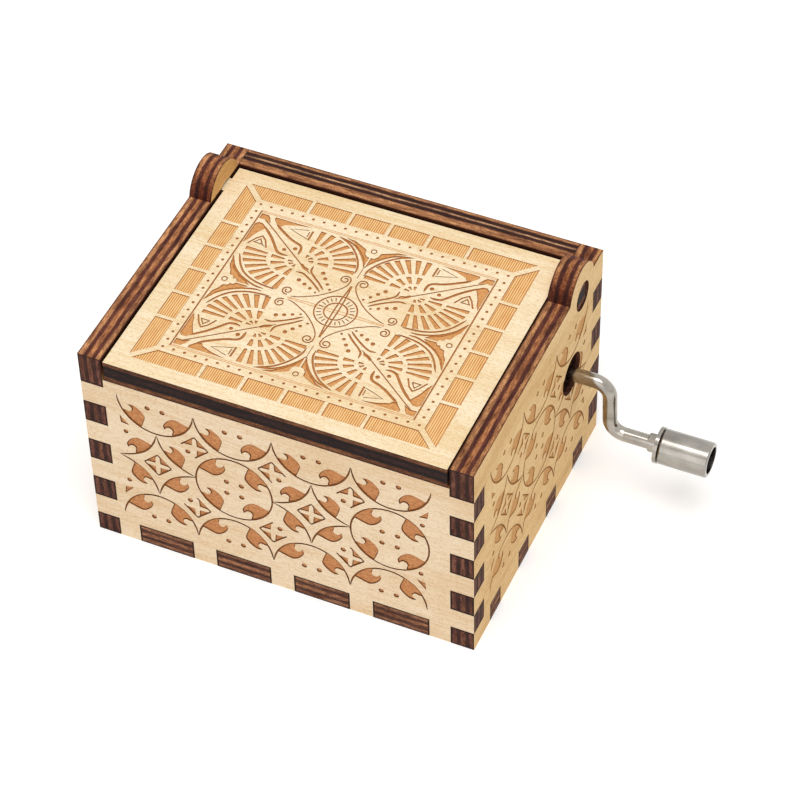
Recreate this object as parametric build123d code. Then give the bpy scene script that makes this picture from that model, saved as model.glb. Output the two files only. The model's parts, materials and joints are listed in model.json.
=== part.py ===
from build123d import *
import os
from math import pi, radians, sqrt, tan

# Hand-cranked music box: a finger-jointed plywood case with a hinged lid, and an
# 18-note cylinder movement on its floor. Millimetres. X runs along the front,
# the front faces -Y, Z is up. The origin is the centre of the case's underside.

# ---- Case ----
box_length = 64.0  # X, over the side panels
box_depth = 51.0  # Y, over the front and back panels
ply = 3.8  # plywood thickness
front_height = 34.8  # top edge of the front panel, on which the lid rests
finger_height = 4.2  # one finger of the corner joints
joint_gap = 0.06  # cut left open round each finger and tab
long_tab_count = 4  # tabs of the floor in the front and back panels
long_tab_gap = 4.0  # wood between two of them
long_tab_end = 3.6  # wood between the last one and the side panel
short_tab_count = 4  # tabs of the floor in the side panels
short_tab_gap = 7.4
short_tab_end = 2.6

# ---- Lid and hinge ----
lid_seat_gap = 0.1  # lid above the front panel's top edge
lid_recess = 0.3  # lid's top below the side panels' top edges
lid_side_gap = 0.4  # lid to each side panel
hinge_setback = 4.7  # hinge axis in front of the back panel's inner face
hinge_hole_radius = 2.5
hinge_clearance = 0.08  # round the corners of the lid's hinge tabs
hinge_tab_recess = 0.2  # tab's end inside the side panel's outer face
swing_clearance = 0.1  # lid's rear corner to the back panel as it turns
ear_radius = 4.9  # rounded ear of the side panel over the hinge hole
ear_forward = 0.4  # ear's centre in front of the hinge axis
ear_rise = 1.2  # ear's centre above the hinge axis
crank_hole_radius = 3.6

# ---- Movement: place, bedplate ----
cylinder_setback = 23.2  # cylinder axis from the right panel's inner face
wheel_setback = 8.3  # worm wheel's middle from the back panel's inner face
bed_thickness = 2.0
boss_height = 1.6  # bosses that hold the bedplate off the floor
boss_radius = 3.2
cylinder_rise = 7.4  # cylinder axis above the bedplate
bed_margin = 1.0  # bedplate past what stands on it
bed_corner = 2.0

# ---- Movement: worm drive ----
gear_module = 0.8
wheel_teeth = 15
wheel_width = 2.4
wheel_backlash = 0.3
tooth_addendum = 0.7
tooth_dedendum = 0.9
pressure_angle = 20.0
worm_pitch_radius = 2.5
worm_turns = 3  # odd, so that a thread gap faces the wheel's top tooth
worm_thread_thickness = 0.8  # at the pitch line
worm_core_radius = 1.65
wheel_hub_radius = 2.6
worm_gap = 0.2  # worm to the barrel's end

# ---- Movement: cylinder ----
arbor_radius = 1.0
bearing_clearance = 0.05
barrel_radius = 6.3
barrel_wall = 0.6
barrel_margin = 0.4  # barrel past the outer note tracks
end_cap_thickness = 1.5
end_cap_inset = 0.4
pin_radius = 0.2
pin_height = 0.5
pin_press = 0.3  # pin's root inside the barrel's wall
beats = 44  # note positions round the barrel
melody_step = 5  # tracks from one note to the next
bass_every = 4  # beats between bass notes
end_float = 0.3  # free play along the arbor and the crank shaft

# ---- Movement: comb ----
notes = 18
tooth_pitch = 1.05
slot_width = 0.2
comb_thickness = 1.2
tooth_thickness = 0.55
comb_above_axis = 0.3  # comb's top above the cylinder axis
tip_gap = 0.15  # tooth tips to the circle of the pins
longest_tooth = 12.6
shortest_tooth = 8.8
comb_back_depth = 6.0  # comb behind the longest tooth
comb_shoulder = 1.5  # comb's body past the outer teeth
weighted_teeth = 8
weight_length = 2.6
weight_height = 0.9
weight_inset = 0.9  # weight behind the tooth's tip

# ---- Movement: brackets and screws ----
post_thickness = 2.6
post_radius = 3.2
sheet = 1.2  # folded steel of the crank bracket
bracket_gap = 1.2  # bracket's wings to the wheel's teeth
wing_radius = 3.0  # rounded top of each wing round the crank shaft
comb_gap = 0.4  # bracket's wings to the comb
web_gap = 1.1  # web of the bracket behind the wheel
foot_length = 4.8
foot_depth = 5.6
screw_radius = 1.1
screw_head_radius = 2.0
screw_head_height = 1.2
slot_depth = 0.6
screw_slot_width = 0.5
screw_clearance = 0.05
screw_length = 4.0  # comb and bracket screws, under the head
comb_screw_inset = 3.6  # comb screws from the ends of the comb
wood_screw_head_radius = 2.3
wood_screw_head_height = 1.2
wood_screw_sink = 0.15  # head below the floor's underside
wood_screw_bite = 2.9  # screw inside the bedplate

# ---- Crank ----
wire_radius = 1.15
crank_reach = 6.3  # first bend's corner from the side panel's face
crank_throw = 9.9  # knob's axis from the crank shaft's axis
crank_lean = 0.3  # arm's outward lean over its length
bend_radius = 2.6
shaft_tail = 0.8  # shaft past the inner wing of the bracket
collar_radius = 2.4
collar_length = 1.6
knob_offset = 8.0  # washer from the second bend's corner
washer_radius = 2.95
washer_thickness = 0.6
knob_radius = 2.85
knob_length = 8.0
knob_web = 2.6  # solid inner end of the knob
knob_wall = 0.65
knob_gap = 0.12  # washer to knob, and knob to the peened head
knob_clearance = 0.08
knob_edge = 0.3
peened_radius = 1.8
peened_length = 0.8
stake_length = 1.6  # pinched length of wire that stops the washer
stake_width = 3.0
stake_thickness = 1.3

# ---- Sizes that follow ----
half_length = box_length / 2
half_depth = box_depth / 2
inner_half_length = half_length - ply
inner_half_depth = half_depth - ply
lid_bottom = front_height + lid_seat_gap
lid_top = lid_bottom + ply
side_height = lid_top + lid_recess
finger_count = int((front_height - ply + finger_height) / (2 * finger_height))

hinge_y = inner_half_depth - hinge_setback
hinge_z = lid_bottom + ply / 2
lid_half_length = inner_half_length - lid_side_gap
lid_rear = hinge_y + sqrt((hinge_setback - swing_clearance) ** 2 - (ply / 2) ** 2)
hinge_tab_half = sqrt((hinge_hole_radius - hinge_clearance) ** 2 - (ply / 2) ** 2)

bed_bottom = ply + boss_height
bed_top = bed_bottom + bed_thickness
cylinder_x = inner_half_length - cylinder_setback
cylinder_z = bed_top + cylinder_rise
wheel_pitch_radius = gear_module * wheel_teeth / 2
wheel_outer_radius = wheel_pitch_radius + tooth_addendum
wheel_root_radius = wheel_pitch_radius - tooth_dedendum
worm_outer_radius = worm_pitch_radius + tooth_addendum
worm_lead = pi * gear_module
crank_y = inner_half_depth - wheel_setback
crank_z = cylinder_z + wheel_pitch_radius + worm_pitch_radius
knob_z = crank_z - crank_throw

wheel_front = crank_y - wheel_width / 2
wheel_rear = crank_y + wheel_width / 2
barrel_rear = crank_y - worm_outer_radius - worm_gap
wheel_hub_length = wheel_front - barrel_rear
barrel_length = notes * tooth_pitch + 2 * barrel_margin
barrel_front = barrel_rear - barrel_length
barrel_middle = (barrel_front + barrel_rear) / 2
post_rear = barrel_front - end_float
post_front = post_rear - post_thickness
web_front = wheel_rear + web_gap
web_rear = web_front + sheet
arbor_front = post_front - end_float
arbor_rear = web_rear + end_float

comb_top = cylinder_z + comb_above_axis
comb_bottom = comb_top - comb_thickness
tip_x = cylinder_x - barrel_radius - pin_height - tip_gap
comb_back = tip_x - longest_tooth - comb_back_depth
comb_half_width = notes * tooth_pitch / 2 + comb_shoulder
shelf_front = tip_x - longest_tooth - joint_gap
comb_screw_x = comb_back + comb_back_depth / 2
comb_screw_offset = comb_half_width - comb_screw_inset

wing_inner = wheel_outer_radius + bracket_gap
wing_outer = wing_inner + sheet
wing_front = barrel_middle + comb_half_width + comb_gap
foot_end = wing_outer + foot_length
foot_screw_x = wing_outer + foot_length / 2
foot_front = crank_y - foot_depth / 2
foot_rear = crank_y + foot_depth / 2
bed_left = comb_back - bed_margin
bed_right = cylinder_x + foot_end + bed_margin
bed_front = post_front - bed_margin
bed_rear = max(web_rear, foot_rear) + bed_margin
boss_inset = boss_radius + bed_margin / 2
boss_places = [
    (bed_left + boss_inset, bed_front + boss_inset),
    (bed_left + boss_inset, bed_rear - boss_inset),
    (bed_right - boss_inset, (bed_front + bed_rear) / 2),
]
arm_top_x = half_length + crank_reach
arm_bottom_x = arm_top_x + crank_lean
washer_x = arm_bottom_x + knob_offset
knob_x = washer_x + washer_thickness + knob_gap
knob_web_end = knob_x + knob_web
peened_x = knob_web_end + knob_gap
shaft_inner_x = cylinder_x - wing_outer - shaft_tail
knob_bore_radius = knob_radius - knob_wall


def block(x0, x1, y0, y1, z0, z1):
    """A box between two corners."""
    middle = ((x0 + x1) / 2, (y0 + y1) / 2, (z0 + z1) / 2)
    return Pos(*middle) * Box(x1 - x0, y1 - y0, z1 - z0)


def rod_x(x0, x1, y, z, radius):
    """A round bar along X."""
    return Pos((x0 + x1) / 2, y, z) * Rot(0, 90, 0) * Cylinder(radius, x1 - x0)


def rod_y(x, y0, y1, z, radius):
    """A round bar along Y."""
    return Pos(x, (y0 + y1) / 2, z) * Rot(90, 0, 0) * Cylinder(radius, y1 - y0)


def rod_z(x, y, z0, z1, radius):
    """A round bar along Z."""
    return Pos(x, y, (z0 + z1) / 2) * Cylinder(radius, z1 - z0)


def save(shape, node):
    """Write one sub-part as parts/NODE.step."""
    shape.label = node
    export_step(shape, f"parts/{node}.step")


# ---- Case ----
def spans(half_width, count, gap, end):
    """Start and end of evenly spaced tabs between two inner faces."""
    width = (2 * half_width - 2 * end - (count - 1) * gap) / count
    starts = [-half_width + end + i * (width + gap) for i in range(count)]
    return [(start, start + width) for start in starts]


def front_finger_levels():
    """Heights of the fingers on the ends of the front and back panels."""
    starts = [ply + 2 * i * finger_height for i in range(finger_count)]
    return [(start, start + finger_height) for start in starts]


def side_finger_levels():
    """Heights of the gaps between those fingers, where the side panels reach out."""
    fingers = front_finger_levels()
    inner = [(fingers[i][1], fingers[i + 1][0]) for i in range(finger_count - 1)]
    return [(-ply, ply)] + inner + [(fingers[-1][1], side_height + ear_radius)]


def floor_slots_x():
    """Cuts for the floor's tabs in the lower edges of the front and back panels."""
    reach = half_depth + ply
    tabs = spans(inner_half_length, long_tab_count, long_tab_gap, long_tab_end)
    top = ply + joint_gap
    return [block(a - joint_gap, b + joint_gap, -reach, reach, -ply, top) for a, b in tabs]


def floor_slots_y():
    """Cuts for the floor's tabs in the lower edges of the side panels."""
    reach = half_length + ply
    tabs = spans(inner_half_depth, short_tab_count, short_tab_gap, short_tab_end)
    top = ply + joint_gap
    return [block(-reach, reach, a - joint_gap, b + joint_gap, -ply, top) for a, b in tabs]


def end_panel(y0, height):
    """A panel along X, cut at both ends for the side panels' fingers."""
    panel = block(-half_length, half_length, y0, y0 + ply, 0, height)
    inner = inner_half_length - joint_gap
    for low, high in side_finger_levels():
        for end in (-1, 1):
            x0, x1 = sorted((end * inner, end * (half_length + ply)))
            panel -= block(x0, x1, y0 - ply, y0 + 2 * ply, low - joint_gap, high + joint_gap)
    return panel - floor_slots_x()


def side_panel(x0):
    """A panel along Y with its finger gaps, rounded hinge ear and hinge hole."""
    panel = block(x0, x0 + ply, -half_depth, half_depth, 0, side_height)
    panel += rod_x(x0, x0 + ply, hinge_y - ear_forward, hinge_z + ear_rise, ear_radius)
    inner = inner_half_depth - joint_gap
    for low, high in front_finger_levels():
        for end in (-1, 1):
            y0, y1 = sorted((end * inner, end * (half_depth + ply)))
            panel -= block(x0 - ply, x0 + 2 * ply, y0, y1, low - joint_gap, high + joint_gap)
    panel -= rod_x(x0 - ply, x0 + 2 * ply, hinge_y, hinge_z, hinge_hole_radius)
    return panel - floor_slots_y()


def make_case():
    save(end_panel(-half_depth, front_height), "front_panel")
    save(end_panel(inner_half_depth, side_height), "back_panel")
    save(side_panel(-half_length), "left_side_panel")
    right = side_panel(inner_half_length)
    right -= rod_x(0, box_length, crank_y, crank_z, crank_hole_radius)
    save(right, "right_side_panel")
    save(make_floor(), "bottom_panel")


def make_floor():
    """The floor, its tabs through the four walls and its countersunk screw holes."""
    x_in = inner_half_length - joint_gap
    y_in = inner_half_depth - joint_gap
    floor = block(-x_in, x_in, -y_in, y_in, 0, ply)
    for a, b in spans(inner_half_length, long_tab_count, long_tab_gap, long_tab_end):
        floor += block(a, b, -half_depth, half_depth, 0, ply)
    for a, b in spans(inner_half_depth, short_tab_count, short_tab_gap, short_tab_end):
        floor += block(-half_length, half_length, a, b, 0, ply)
    for x, y in boss_places:
        floor -= rod_z(x, y, -ply, 2 * ply, screw_radius + screw_clearance)
        floor -= wood_screw_head(x, y, screw_clearance)
        floor -= rod_z(x, y, -ply, wood_screw_sink, wood_screw_head_radius + screw_clearance)
    return floor


def make_lid():
    """The lid, with a square tab at each side that turns in a round hinge hole."""
    tab_end = half_length - hinge_tab_recess
    tab_front, tab_rear = hinge_y - hinge_tab_half, hinge_y + hinge_tab_half
    lid = block(-lid_half_length, lid_half_length, -half_depth, lid_rear, lid_bottom, lid_top)
    lid += block(-tab_end, tab_end, tab_front, tab_rear, lid_bottom, lid_top)
    save(lid, "lid")


# ---- Bedplate, brackets and screws ----
def make_bedplate():
    """Cast plate with its bosses, the comb's shelf and the cylinder's front post."""
    bed = block(bed_left, bed_right, bed_front, bed_rear, bed_bottom, bed_top)
    bed = fillet(bed.edges().filter_by(Axis.Z), bed_corner)
    shelf_low, shelf_high = barrel_middle - comb_half_width, barrel_middle + comb_half_width
    bed += block(comb_back, shelf_front, shelf_low, shelf_high, bed_top, comb_bottom)
    left, right = cylinder_x - post_radius, cylinder_x + post_radius
    bed += block(left, right, post_front, post_rear, bed_top, cylinder_z)
    bed += rod_y(cylinder_x, post_front, post_rear, cylinder_z, post_radius)
    bed -= rod_y(cylinder_x, -box_depth, barrel_middle, cylinder_z, arbor_radius + bearing_clearance)
    hole = screw_radius + screw_clearance
    for x, y in boss_places:
        bed += rod_z(x, y, ply, bed_bottom, boss_radius)
        bed -= rod_z(x, y, 0, ply + wood_screw_bite + screw_clearance, hole)
    for y in comb_screw_rows():
        bed -= rod_z(comb_screw_x, y, comb_bottom - screw_length, comb_top, hole)
    for x in foot_screw_columns():
        bed -= rod_z(x, crank_y, 0, bed_top + sheet, hole)
    save(bed, "bedplate")


def comb_screw_rows():
    return [barrel_middle - comb_screw_offset, barrel_middle + comb_screw_offset]


def foot_screw_columns():
    return [cylinder_x - foot_screw_x, cylinder_x + foot_screw_x]


def make_crank_bracket():
    """Folded steel: two wings for the crank shaft, a web for the arbor, two feet."""
    head_low = comb_top + comb_gap
    head_front, head_rear = crank_y - wing_radius, crank_y + wing_radius
    bracket = block(-wing_outer, wing_outer, web_front, web_rear, bed_top, cylinder_z)
    bracket += rod_y(0, web_front, web_rear, cylinder_z, post_radius)
    for side in (-1, 1):
        x0, x1 = sorted((side * wing_inner, side * wing_outer))
        bracket += block(x0, x1, wing_front, web_rear, bed_top, head_low)
        bracket += block(x0, x1, head_front, head_rear, head_low, crank_z)
        bracket += rod_x(x0, x1, crank_y, crank_z, wing_radius)
        f0, f1 = sorted((side * wing_inner, side * foot_end))
        foot = block(f0, f1, foot_front, foot_rear, bed_top, bed_top + sheet)
        bracket += foot
        hole = screw_radius + screw_clearance
        bracket -= rod_z(side * foot_screw_x, crank_y, 0, crank_z, hole)
    bracket -= rod_x(-box_length, box_length, crank_y, crank_z, wire_radius + bearing_clearance)
    bracket -= rod_y(0, 0, box_depth, cylinder_z, arbor_radius + bearing_clearance)
    save(Pos(cylinder_x, 0, 0) * bracket, "crank_bracket")


def slotted_screw(x, y, seat_z):
    """A cheese-head machine screw, its head on seat_z."""
    head_top = seat_z + screw_head_height
    screw = rod_z(x, y, seat_z, head_top, screw_head_radius)
    screw = fillet(screw.edges().group_by(Axis.Z)[-1], screw_head_height / 4)
    screw += rod_z(x, y, seat_z - screw_length, seat_z, screw_radius)
    half_slot = screw_slot_width / 2
    reach = 2 * screw_head_radius
    cut = block(x - reach, x + reach, y - half_slot, y + half_slot, head_top - slot_depth, head_top)
    return screw - cut


def wood_screw_head(x, y, grow):
    """The cone of a countersunk head, larger all round by grow."""
    middle = wood_screw_sink + wood_screw_head_height / 2
    cone = Cone(wood_screw_head_radius + grow, screw_radius + grow, wood_screw_head_height)
    return Pos(x, y, middle) * cone


def floor_screw(x, y):
    """A countersunk screw with a cross recess, driven up through the floor."""
    low = wood_screw_sink
    screw = wood_screw_head(x, y, 0)
    screw += rod_z(x, y, low + wood_screw_head_height, ply + wood_screw_bite, screw_radius)
    arm, half_slot = wood_screw_head_radius * 0.6, screw_slot_width / 2
    screw -= block(x - arm, x + arm, y - half_slot, y + half_slot, low, low + slot_depth)
    screw -= block(x - half_slot, x + half_slot, y - arm, y + arm, low, low + slot_depth)
    return screw


def make_screws():
    comb = [slotted_screw(comb_screw_x, y, comb_top) for y in comb_screw_rows()]
    feet = [slotted_screw(x, crank_y, bed_top + sheet) for x in foot_screw_columns()]
    floor = [floor_screw(x, y) for x, y in boss_places]
    save(Compound(children=comb), "comb_screws")
    save(Compound(children=feet), "bracket_screws")
    save(Compound(children=floor), "floor_screws")


# ---- Comb ----
def tooth_y(note):
    """Middle of a note's tooth and track; note 0 is the lowest, at the front."""
    return barrel_middle + (note - (notes - 1) / 2) * tooth_pitch


def tooth_length(note):
    return longest_tooth + (shortest_tooth - longest_tooth) * note / (notes - 1)


def tooth_block(note):
    """A note's tooth, rooted in the comb's body."""
    half_tooth = (tooth_pitch - slot_width) / 2
    y = tooth_y(note)
    root = tip_x - tooth_length(note) - tooth_pitch
    low = comb_top - tooth_thickness
    return block(root, tip_x, y - half_tooth, y + half_tooth, low, comb_top)


def make_comb():
    """Steel comb: a thick back with thin teeth that shorten towards the treble."""
    low, high = barrel_middle - comb_half_width, barrel_middle + comb_half_width
    root_low = tip_x - tooth_length(0)
    root_high = tip_x - tooth_length(notes - 1)
    outline = Polyline(
        (comb_back, low), (root_low, low), (root_high, high), (comb_back, high), close=True
    )
    comb = Pos(0, 0, comb_bottom) * extrude(make_face(outline), comb_thickness)
    comb += [tooth_block(note) for note in range(notes)]
    for y in comb_screw_rows():
        comb -= rod_z(comb_screw_x, y, 0, side_height, screw_radius + screw_clearance)
    save(comb, "comb")


def make_bass_weights():
    """Lead weights under the tips of the lowest teeth."""
    half_tooth = (tooth_pitch - slot_width) / 2
    top = comb_top - tooth_thickness
    x1 = tip_x - weight_inset
    weights = []
    for note in range(weighted_teeth):
        y0, y1 = tooth_y(note) - half_tooth, tooth_y(note) + half_tooth
        weights.append(block(x1 - weight_length, x1, y0, y1, top - weight_height, top))
    save(Compound(children=weights), "bass_weights")


# ---- Cylinder ----
def tune_notes():
    """Beat and note of each pin: a plain running pattern over a slow bass."""
    melody = [(beat, (melody_step * beat) % notes) for beat in range(beats)]
    bass = [(beat, (beat // bass_every) % bass_every) for beat in range(0, beats, bass_every)]
    return sorted(set(melody + bass))


def tune_pin(beat, note):
    """One pin, set radially in the barrel at its beat and track."""
    length = pin_height + pin_press
    angle = 360 / beats * (beat + 0.5)
    pin = Pos(0, 0, barrel_radius + pin_height - length / 2) * Cylinder(pin_radius, length)
    return Pos(cylinder_x, tooth_y(note), cylinder_z) * Rot(0, angle, 0) * pin


def make_cylinder():
    barrel = rod_y(cylinder_x, barrel_front, barrel_rear, cylinder_z, barrel_radius)
    inner = barrel_radius - barrel_wall
    barrel -= rod_y(cylinder_x, barrel_front, barrel_rear, cylinder_z, inner)
    save(barrel, "cylinder_barrel")
    save(Compound(children=[tune_pin(beat, note) for beat, note in tune_notes()]), "tune_pins")
    arbor = rod_y(cylinder_x, arbor_front, arbor_rear, cylinder_z, arbor_radius)
    save(arbor, "cylinder_arbor")
    caps = []
    for y0 in (barrel_front + end_cap_inset, barrel_rear - end_cap_inset - end_cap_thickness):
        cap = rod_y(cylinder_x, y0, y0 + end_cap_thickness, cylinder_z, inner)
        caps.append(cap - rod_y(cylinder_x, y0, y0 + end_cap_thickness, cylinder_z, arbor_radius))
    save(Compound(children=caps), "cylinder_end_caps")


def wheel_tooth():
    """Outline of one tooth that points up, in the wheel's own plane."""
    slope = tan(radians(pressure_angle))
    at_pitch = (pi * gear_module / 2 - wheel_backlash) / 2
    at_tip = at_pitch - tooth_addendum * slope
    at_root = at_pitch + tooth_dedendum * slope
    foot = wheel_root_radius - tooth_dedendum
    points = [(-at_root, foot), (-at_root, wheel_root_radius), (-at_tip, wheel_outer_radius)]
    points += [(-x, z) for x, z in reversed(points)]
    return make_face(Polyline(*points, close=True))


def make_worm_wheel():
    tooth = wheel_tooth()
    profile = Circle(wheel_root_radius)
    profile += [Rot(0, 0, 360 / wheel_teeth * i) * tooth for i in range(wheel_teeth)]
    gear = extrude(profile, wheel_width / 2, both=True)
    hub = Cylinder(wheel_hub_radius, wheel_hub_length)
    gear += Pos(0, 0, (wheel_width + wheel_hub_length) / 2) * hub
    gear -= Cylinder(arbor_radius, 4 * wheel_width)
    save(Pos(cylinder_x, crank_y, cylinder_z) * Rot(90, 0, 0) * gear, "worm_wheel")


# ---- Crank ----
def make_worm():
    """Single-start right-hand worm; its core runs from wing to wing."""
    slope = tan(radians(pressure_angle))
    overlap = worm_core_radius / 4
    at_pitch = worm_thread_thickness / 2
    at_tip = at_pitch - tooth_addendum * slope
    depth = worm_pitch_radius - worm_core_radius + overlap
    at_root = at_pitch + depth * slope
    inner = worm_core_radius - overlap
    length = worm_turns * worm_lead
    helix = Helix(pitch=worm_lead, height=length, radius=worm_pitch_radius)
    outer = worm_outer_radius
    points = [(inner, -at_root), (outer, -at_tip), (outer, at_tip), (inner, at_root)]
    section = Plane.XZ * make_face(Polyline(*points, close=True))
    thread = sweep(section, path=helix, is_frenet=True)
    thread = Pos(cylinder_x - length / 2, crank_y, crank_z) * Rot(0, 90, 0) * thread
    half_core = wing_inner - end_float
    worm = rod_x(cylinder_x - half_core, cylinder_x + half_core, crank_y, crank_z, worm_core_radius)
    worm += thread
    worm -= rod_x(-box_length, box_length, crank_y, crank_z, wire_radius)
    save(worm, "worm")


def make_crank_wire():
    """Bent wire: shaft, arm and knob axle, staked and peened at its end."""
    corners = [
        (shaft_inner_x, crank_y, crank_z),
        (arm_top_x, crank_y, crank_z),
        (arm_bottom_x, crank_y, knob_z),
        (peened_x, crank_y, knob_z),
    ]
    path = FilletPolyline(*corners, radius=bend_radius)
    section = Plane(origin=corners[0], z_dir=(1, 0, 0)) * Circle(wire_radius)
    wire = sweep(section, path=path)
    wire += rod_x(peened_x, peened_x + peened_length, crank_y, knob_z, peened_radius)
    stake = Pos(washer_x - stake_length / 2, crank_y, knob_z)
    stake *= Box(stake_length, stake_thickness, stake_width)
    wire += fillet(stake.edges().filter_by(Axis.Y), stake_length / 4)
    save(wire, "crank_wire")


def make_crank_fittings():
    outer = cylinder_x + wing_outer + end_float
    collar = rod_x(outer, outer + collar_length, crank_y, crank_z, collar_radius)
    collar -= rod_x(0, box_length, crank_y, crank_z, wire_radius)
    save(collar, "shaft_collar")
    washer = rod_x(washer_x, washer_x + washer_thickness, crank_y, knob_z, washer_radius)
    washer -= rod_x(0, 2 * box_length, crank_y, knob_z, wire_radius)
    save(washer, "knob_washer")


def make_knob():
    """Turned sleeve: bored for the wire, with a hollow outer end over the peened head."""
    end = knob_x + knob_length
    knob = rod_x(knob_x, end, crank_y, knob_z, knob_radius)
    knob = fillet(knob.edges(), knob_edge)
    knob -= rod_x(knob_x, end, crank_y, knob_z, wire_radius + knob_clearance)
    knob -= rod_x(knob_web_end, end, crank_y, knob_z, knob_bore_radius)
    save(knob, "crank_knob")


def main():
    os.makedirs("parts", exist_ok=True)
    make_case()
    make_lid()
    make_bedplate()
    make_crank_bracket()
    make_screws()
    make_comb()
    make_bass_weights()
    make_cylinder()
    make_worm_wheel()
    make_worm()
    make_crank_wire()
    make_crank_fittings()
    make_knob()


main()
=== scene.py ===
"""Hand-cranked plywood music box: engraving, finishes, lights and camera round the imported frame."""
import json
import logging
import math
from dataclasses import dataclass
from enum import Enum
from typing import Any, Sequence

import bpy
from mathutils import Euler, Matrix, Vector

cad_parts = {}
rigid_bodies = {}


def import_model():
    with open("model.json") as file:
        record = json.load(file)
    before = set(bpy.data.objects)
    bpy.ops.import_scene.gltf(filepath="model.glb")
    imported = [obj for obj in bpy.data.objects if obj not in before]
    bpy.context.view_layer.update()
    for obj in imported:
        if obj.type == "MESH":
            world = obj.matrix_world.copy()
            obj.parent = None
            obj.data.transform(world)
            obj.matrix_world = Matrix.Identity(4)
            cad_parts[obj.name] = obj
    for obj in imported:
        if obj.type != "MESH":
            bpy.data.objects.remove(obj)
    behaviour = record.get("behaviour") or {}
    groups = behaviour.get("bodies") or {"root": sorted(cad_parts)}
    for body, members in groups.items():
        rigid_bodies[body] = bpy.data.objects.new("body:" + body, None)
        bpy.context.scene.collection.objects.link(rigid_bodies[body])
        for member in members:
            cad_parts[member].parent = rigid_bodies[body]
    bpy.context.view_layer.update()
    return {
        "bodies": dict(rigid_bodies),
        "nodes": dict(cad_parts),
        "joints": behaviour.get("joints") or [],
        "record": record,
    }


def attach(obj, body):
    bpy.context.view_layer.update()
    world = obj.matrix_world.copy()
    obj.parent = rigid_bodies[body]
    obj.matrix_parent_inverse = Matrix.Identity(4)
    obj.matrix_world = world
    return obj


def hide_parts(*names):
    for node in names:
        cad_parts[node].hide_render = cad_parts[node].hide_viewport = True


log = logging.getLogger("music_box")

MM = 0.001
# Sizes of the CAD's case in mm: half its outside, its plywood, its side walls' and its lid's top.
HALF_LENGTH = 32.0
HALF_DEPTH = 25.5
PLY = 3.8
WALL_TOP = 39.0
LID_TOP = 38.7
# Slack in mm that keeps a level just above the walls' top edge.
EDGE_SLACK = 0.02

Point = tuple[float, float]
Triple = tuple[float, float, float]
Outline = tuple[Point, ...]


class Slot(Enum):
    """A panel's material slots, in their order; the laser's marks have one for each kind."""

    VENEER = 0
    END = 1
    LINE = 2
    FILL = 3
    HATCH = 4
    EDGE = 5
    INSIDE = 6
    RIM = 7
    OUTLINE = 8
    FAINT = 9


# ---------------------------------------------------------------- drawing
@dataclass(frozen=True)
class Shape:
    """One closed outline to burn, in mm on a panel's face, and the slot of its floor."""

    outline: Outline
    burn: Slot
    depth: float

    def box(self) -> tuple[float, float, float, float]:
        """Lowest and highest u, then lowest and highest v."""
        us, vs = [p[0] for p in self.outline], [p[1] for p in self.outline]
        return min(us), max(us), min(vs), max(vs)


# Depths in mm.
LINE_DEPTH = 0.2
FILL_DEPTH = 0.15
HATCH_DEPTH = 0.12
FAINT_DEPTH = 0.06
# The part of an arc, from its end, that swings out to a cusp.
FLARE_DEGREES = 35
# A tapered line's width at its ends, what it gains from there, and the sharpest mitre's share.
END_WIDTH = 0.34
WIDTH_GAIN = 0.66
MITRE_LIMIT = 0.5
# Dots from this radius on have a paler middle.
LARGE_DOT = 0.4


def arc(centre: Point, radius: float, start: float, end: float, steps: int) -> list[Point]:
    """Points along an arc.

    Args:
        centre: Middle of the circle.
        radius: Its radius in mm.
        start: First angle in degrees, from +u towards +v.
        end: Last angle in degrees.
        steps: Number of chords.

    Returns:
        The steps + 1 points.
    """
    angles = [math.radians(start + (end - start) * i / steps) for i in range(steps + 1)]
    return [(centre[0] + radius * math.cos(a), centre[1] + radius * math.sin(a)) for a in angles]


def flared_arc(
    centre: Point, radius: float, limits: Point, reaches: Point, steps: int
) -> list[Point]:
    """An arc whose ends swing out to meet their neighbours in a cusp.

    Args:
        centre: Middle of the circle.
        radius: Its radius in mm, away from the ends.
        limits: First and last angle in degrees.
        reaches: Radius at the first and at the last angle.
        steps: Number of chords.

    Returns:
        The steps + 1 points.
    """
    points = []
    for i in range(steps + 1):
        angle = limits[0] + (limits[1] - limits[0]) * i / steps
        grown = radius
        for limit, reach in zip(limits, reaches):
            nearness = max(0.0, 1 - abs(angle - limit) / FLARE_DEGREES)
            grown += (reach - radius) * nearness**2
        a = math.radians(angle)
        points.append((centre[0] + grown * math.cos(a), centre[1] + grown * math.sin(a)))
    return points


def smooth(points: Sequence[Point], steps: int = 4) -> list[Point]:
    """A Catmull-Rom curve through points.

    Args:
        points: The points it passes.
        steps: Number of chords between two of them.

    Returns:
        The curve's points.
    """
    if len(points) < 3:
        return list(points)
    first = (2 * points[0][0] - points[1][0], 2 * points[0][1] - points[1][1])
    last = (2 * points[-1][0] - points[-2][0], 2 * points[-1][1] - points[-2][1])
    padded = [first, *points, last]
    curve: list[Point] = []
    for i in range(1, len(padded) - 2):
        p0, p1, p2, p3 = (Vector(p) for p in padded[i - 1 : i + 3])
        for k in range(steps):
            t = k / steps
            # The usual cubic with weights of a half.
            p = 0.5 * (
                2 * p1
                + (p2 - p0) * t
                + (2 * p0 - 5 * p1 + 4 * p2 - p3) * t * t
                + (3 * p1 - p0 - 3 * p2 + p3) * t * t * t
            )
            curve.append((p.x, p.y))
    return curve + [tuple(points[-1])]


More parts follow.
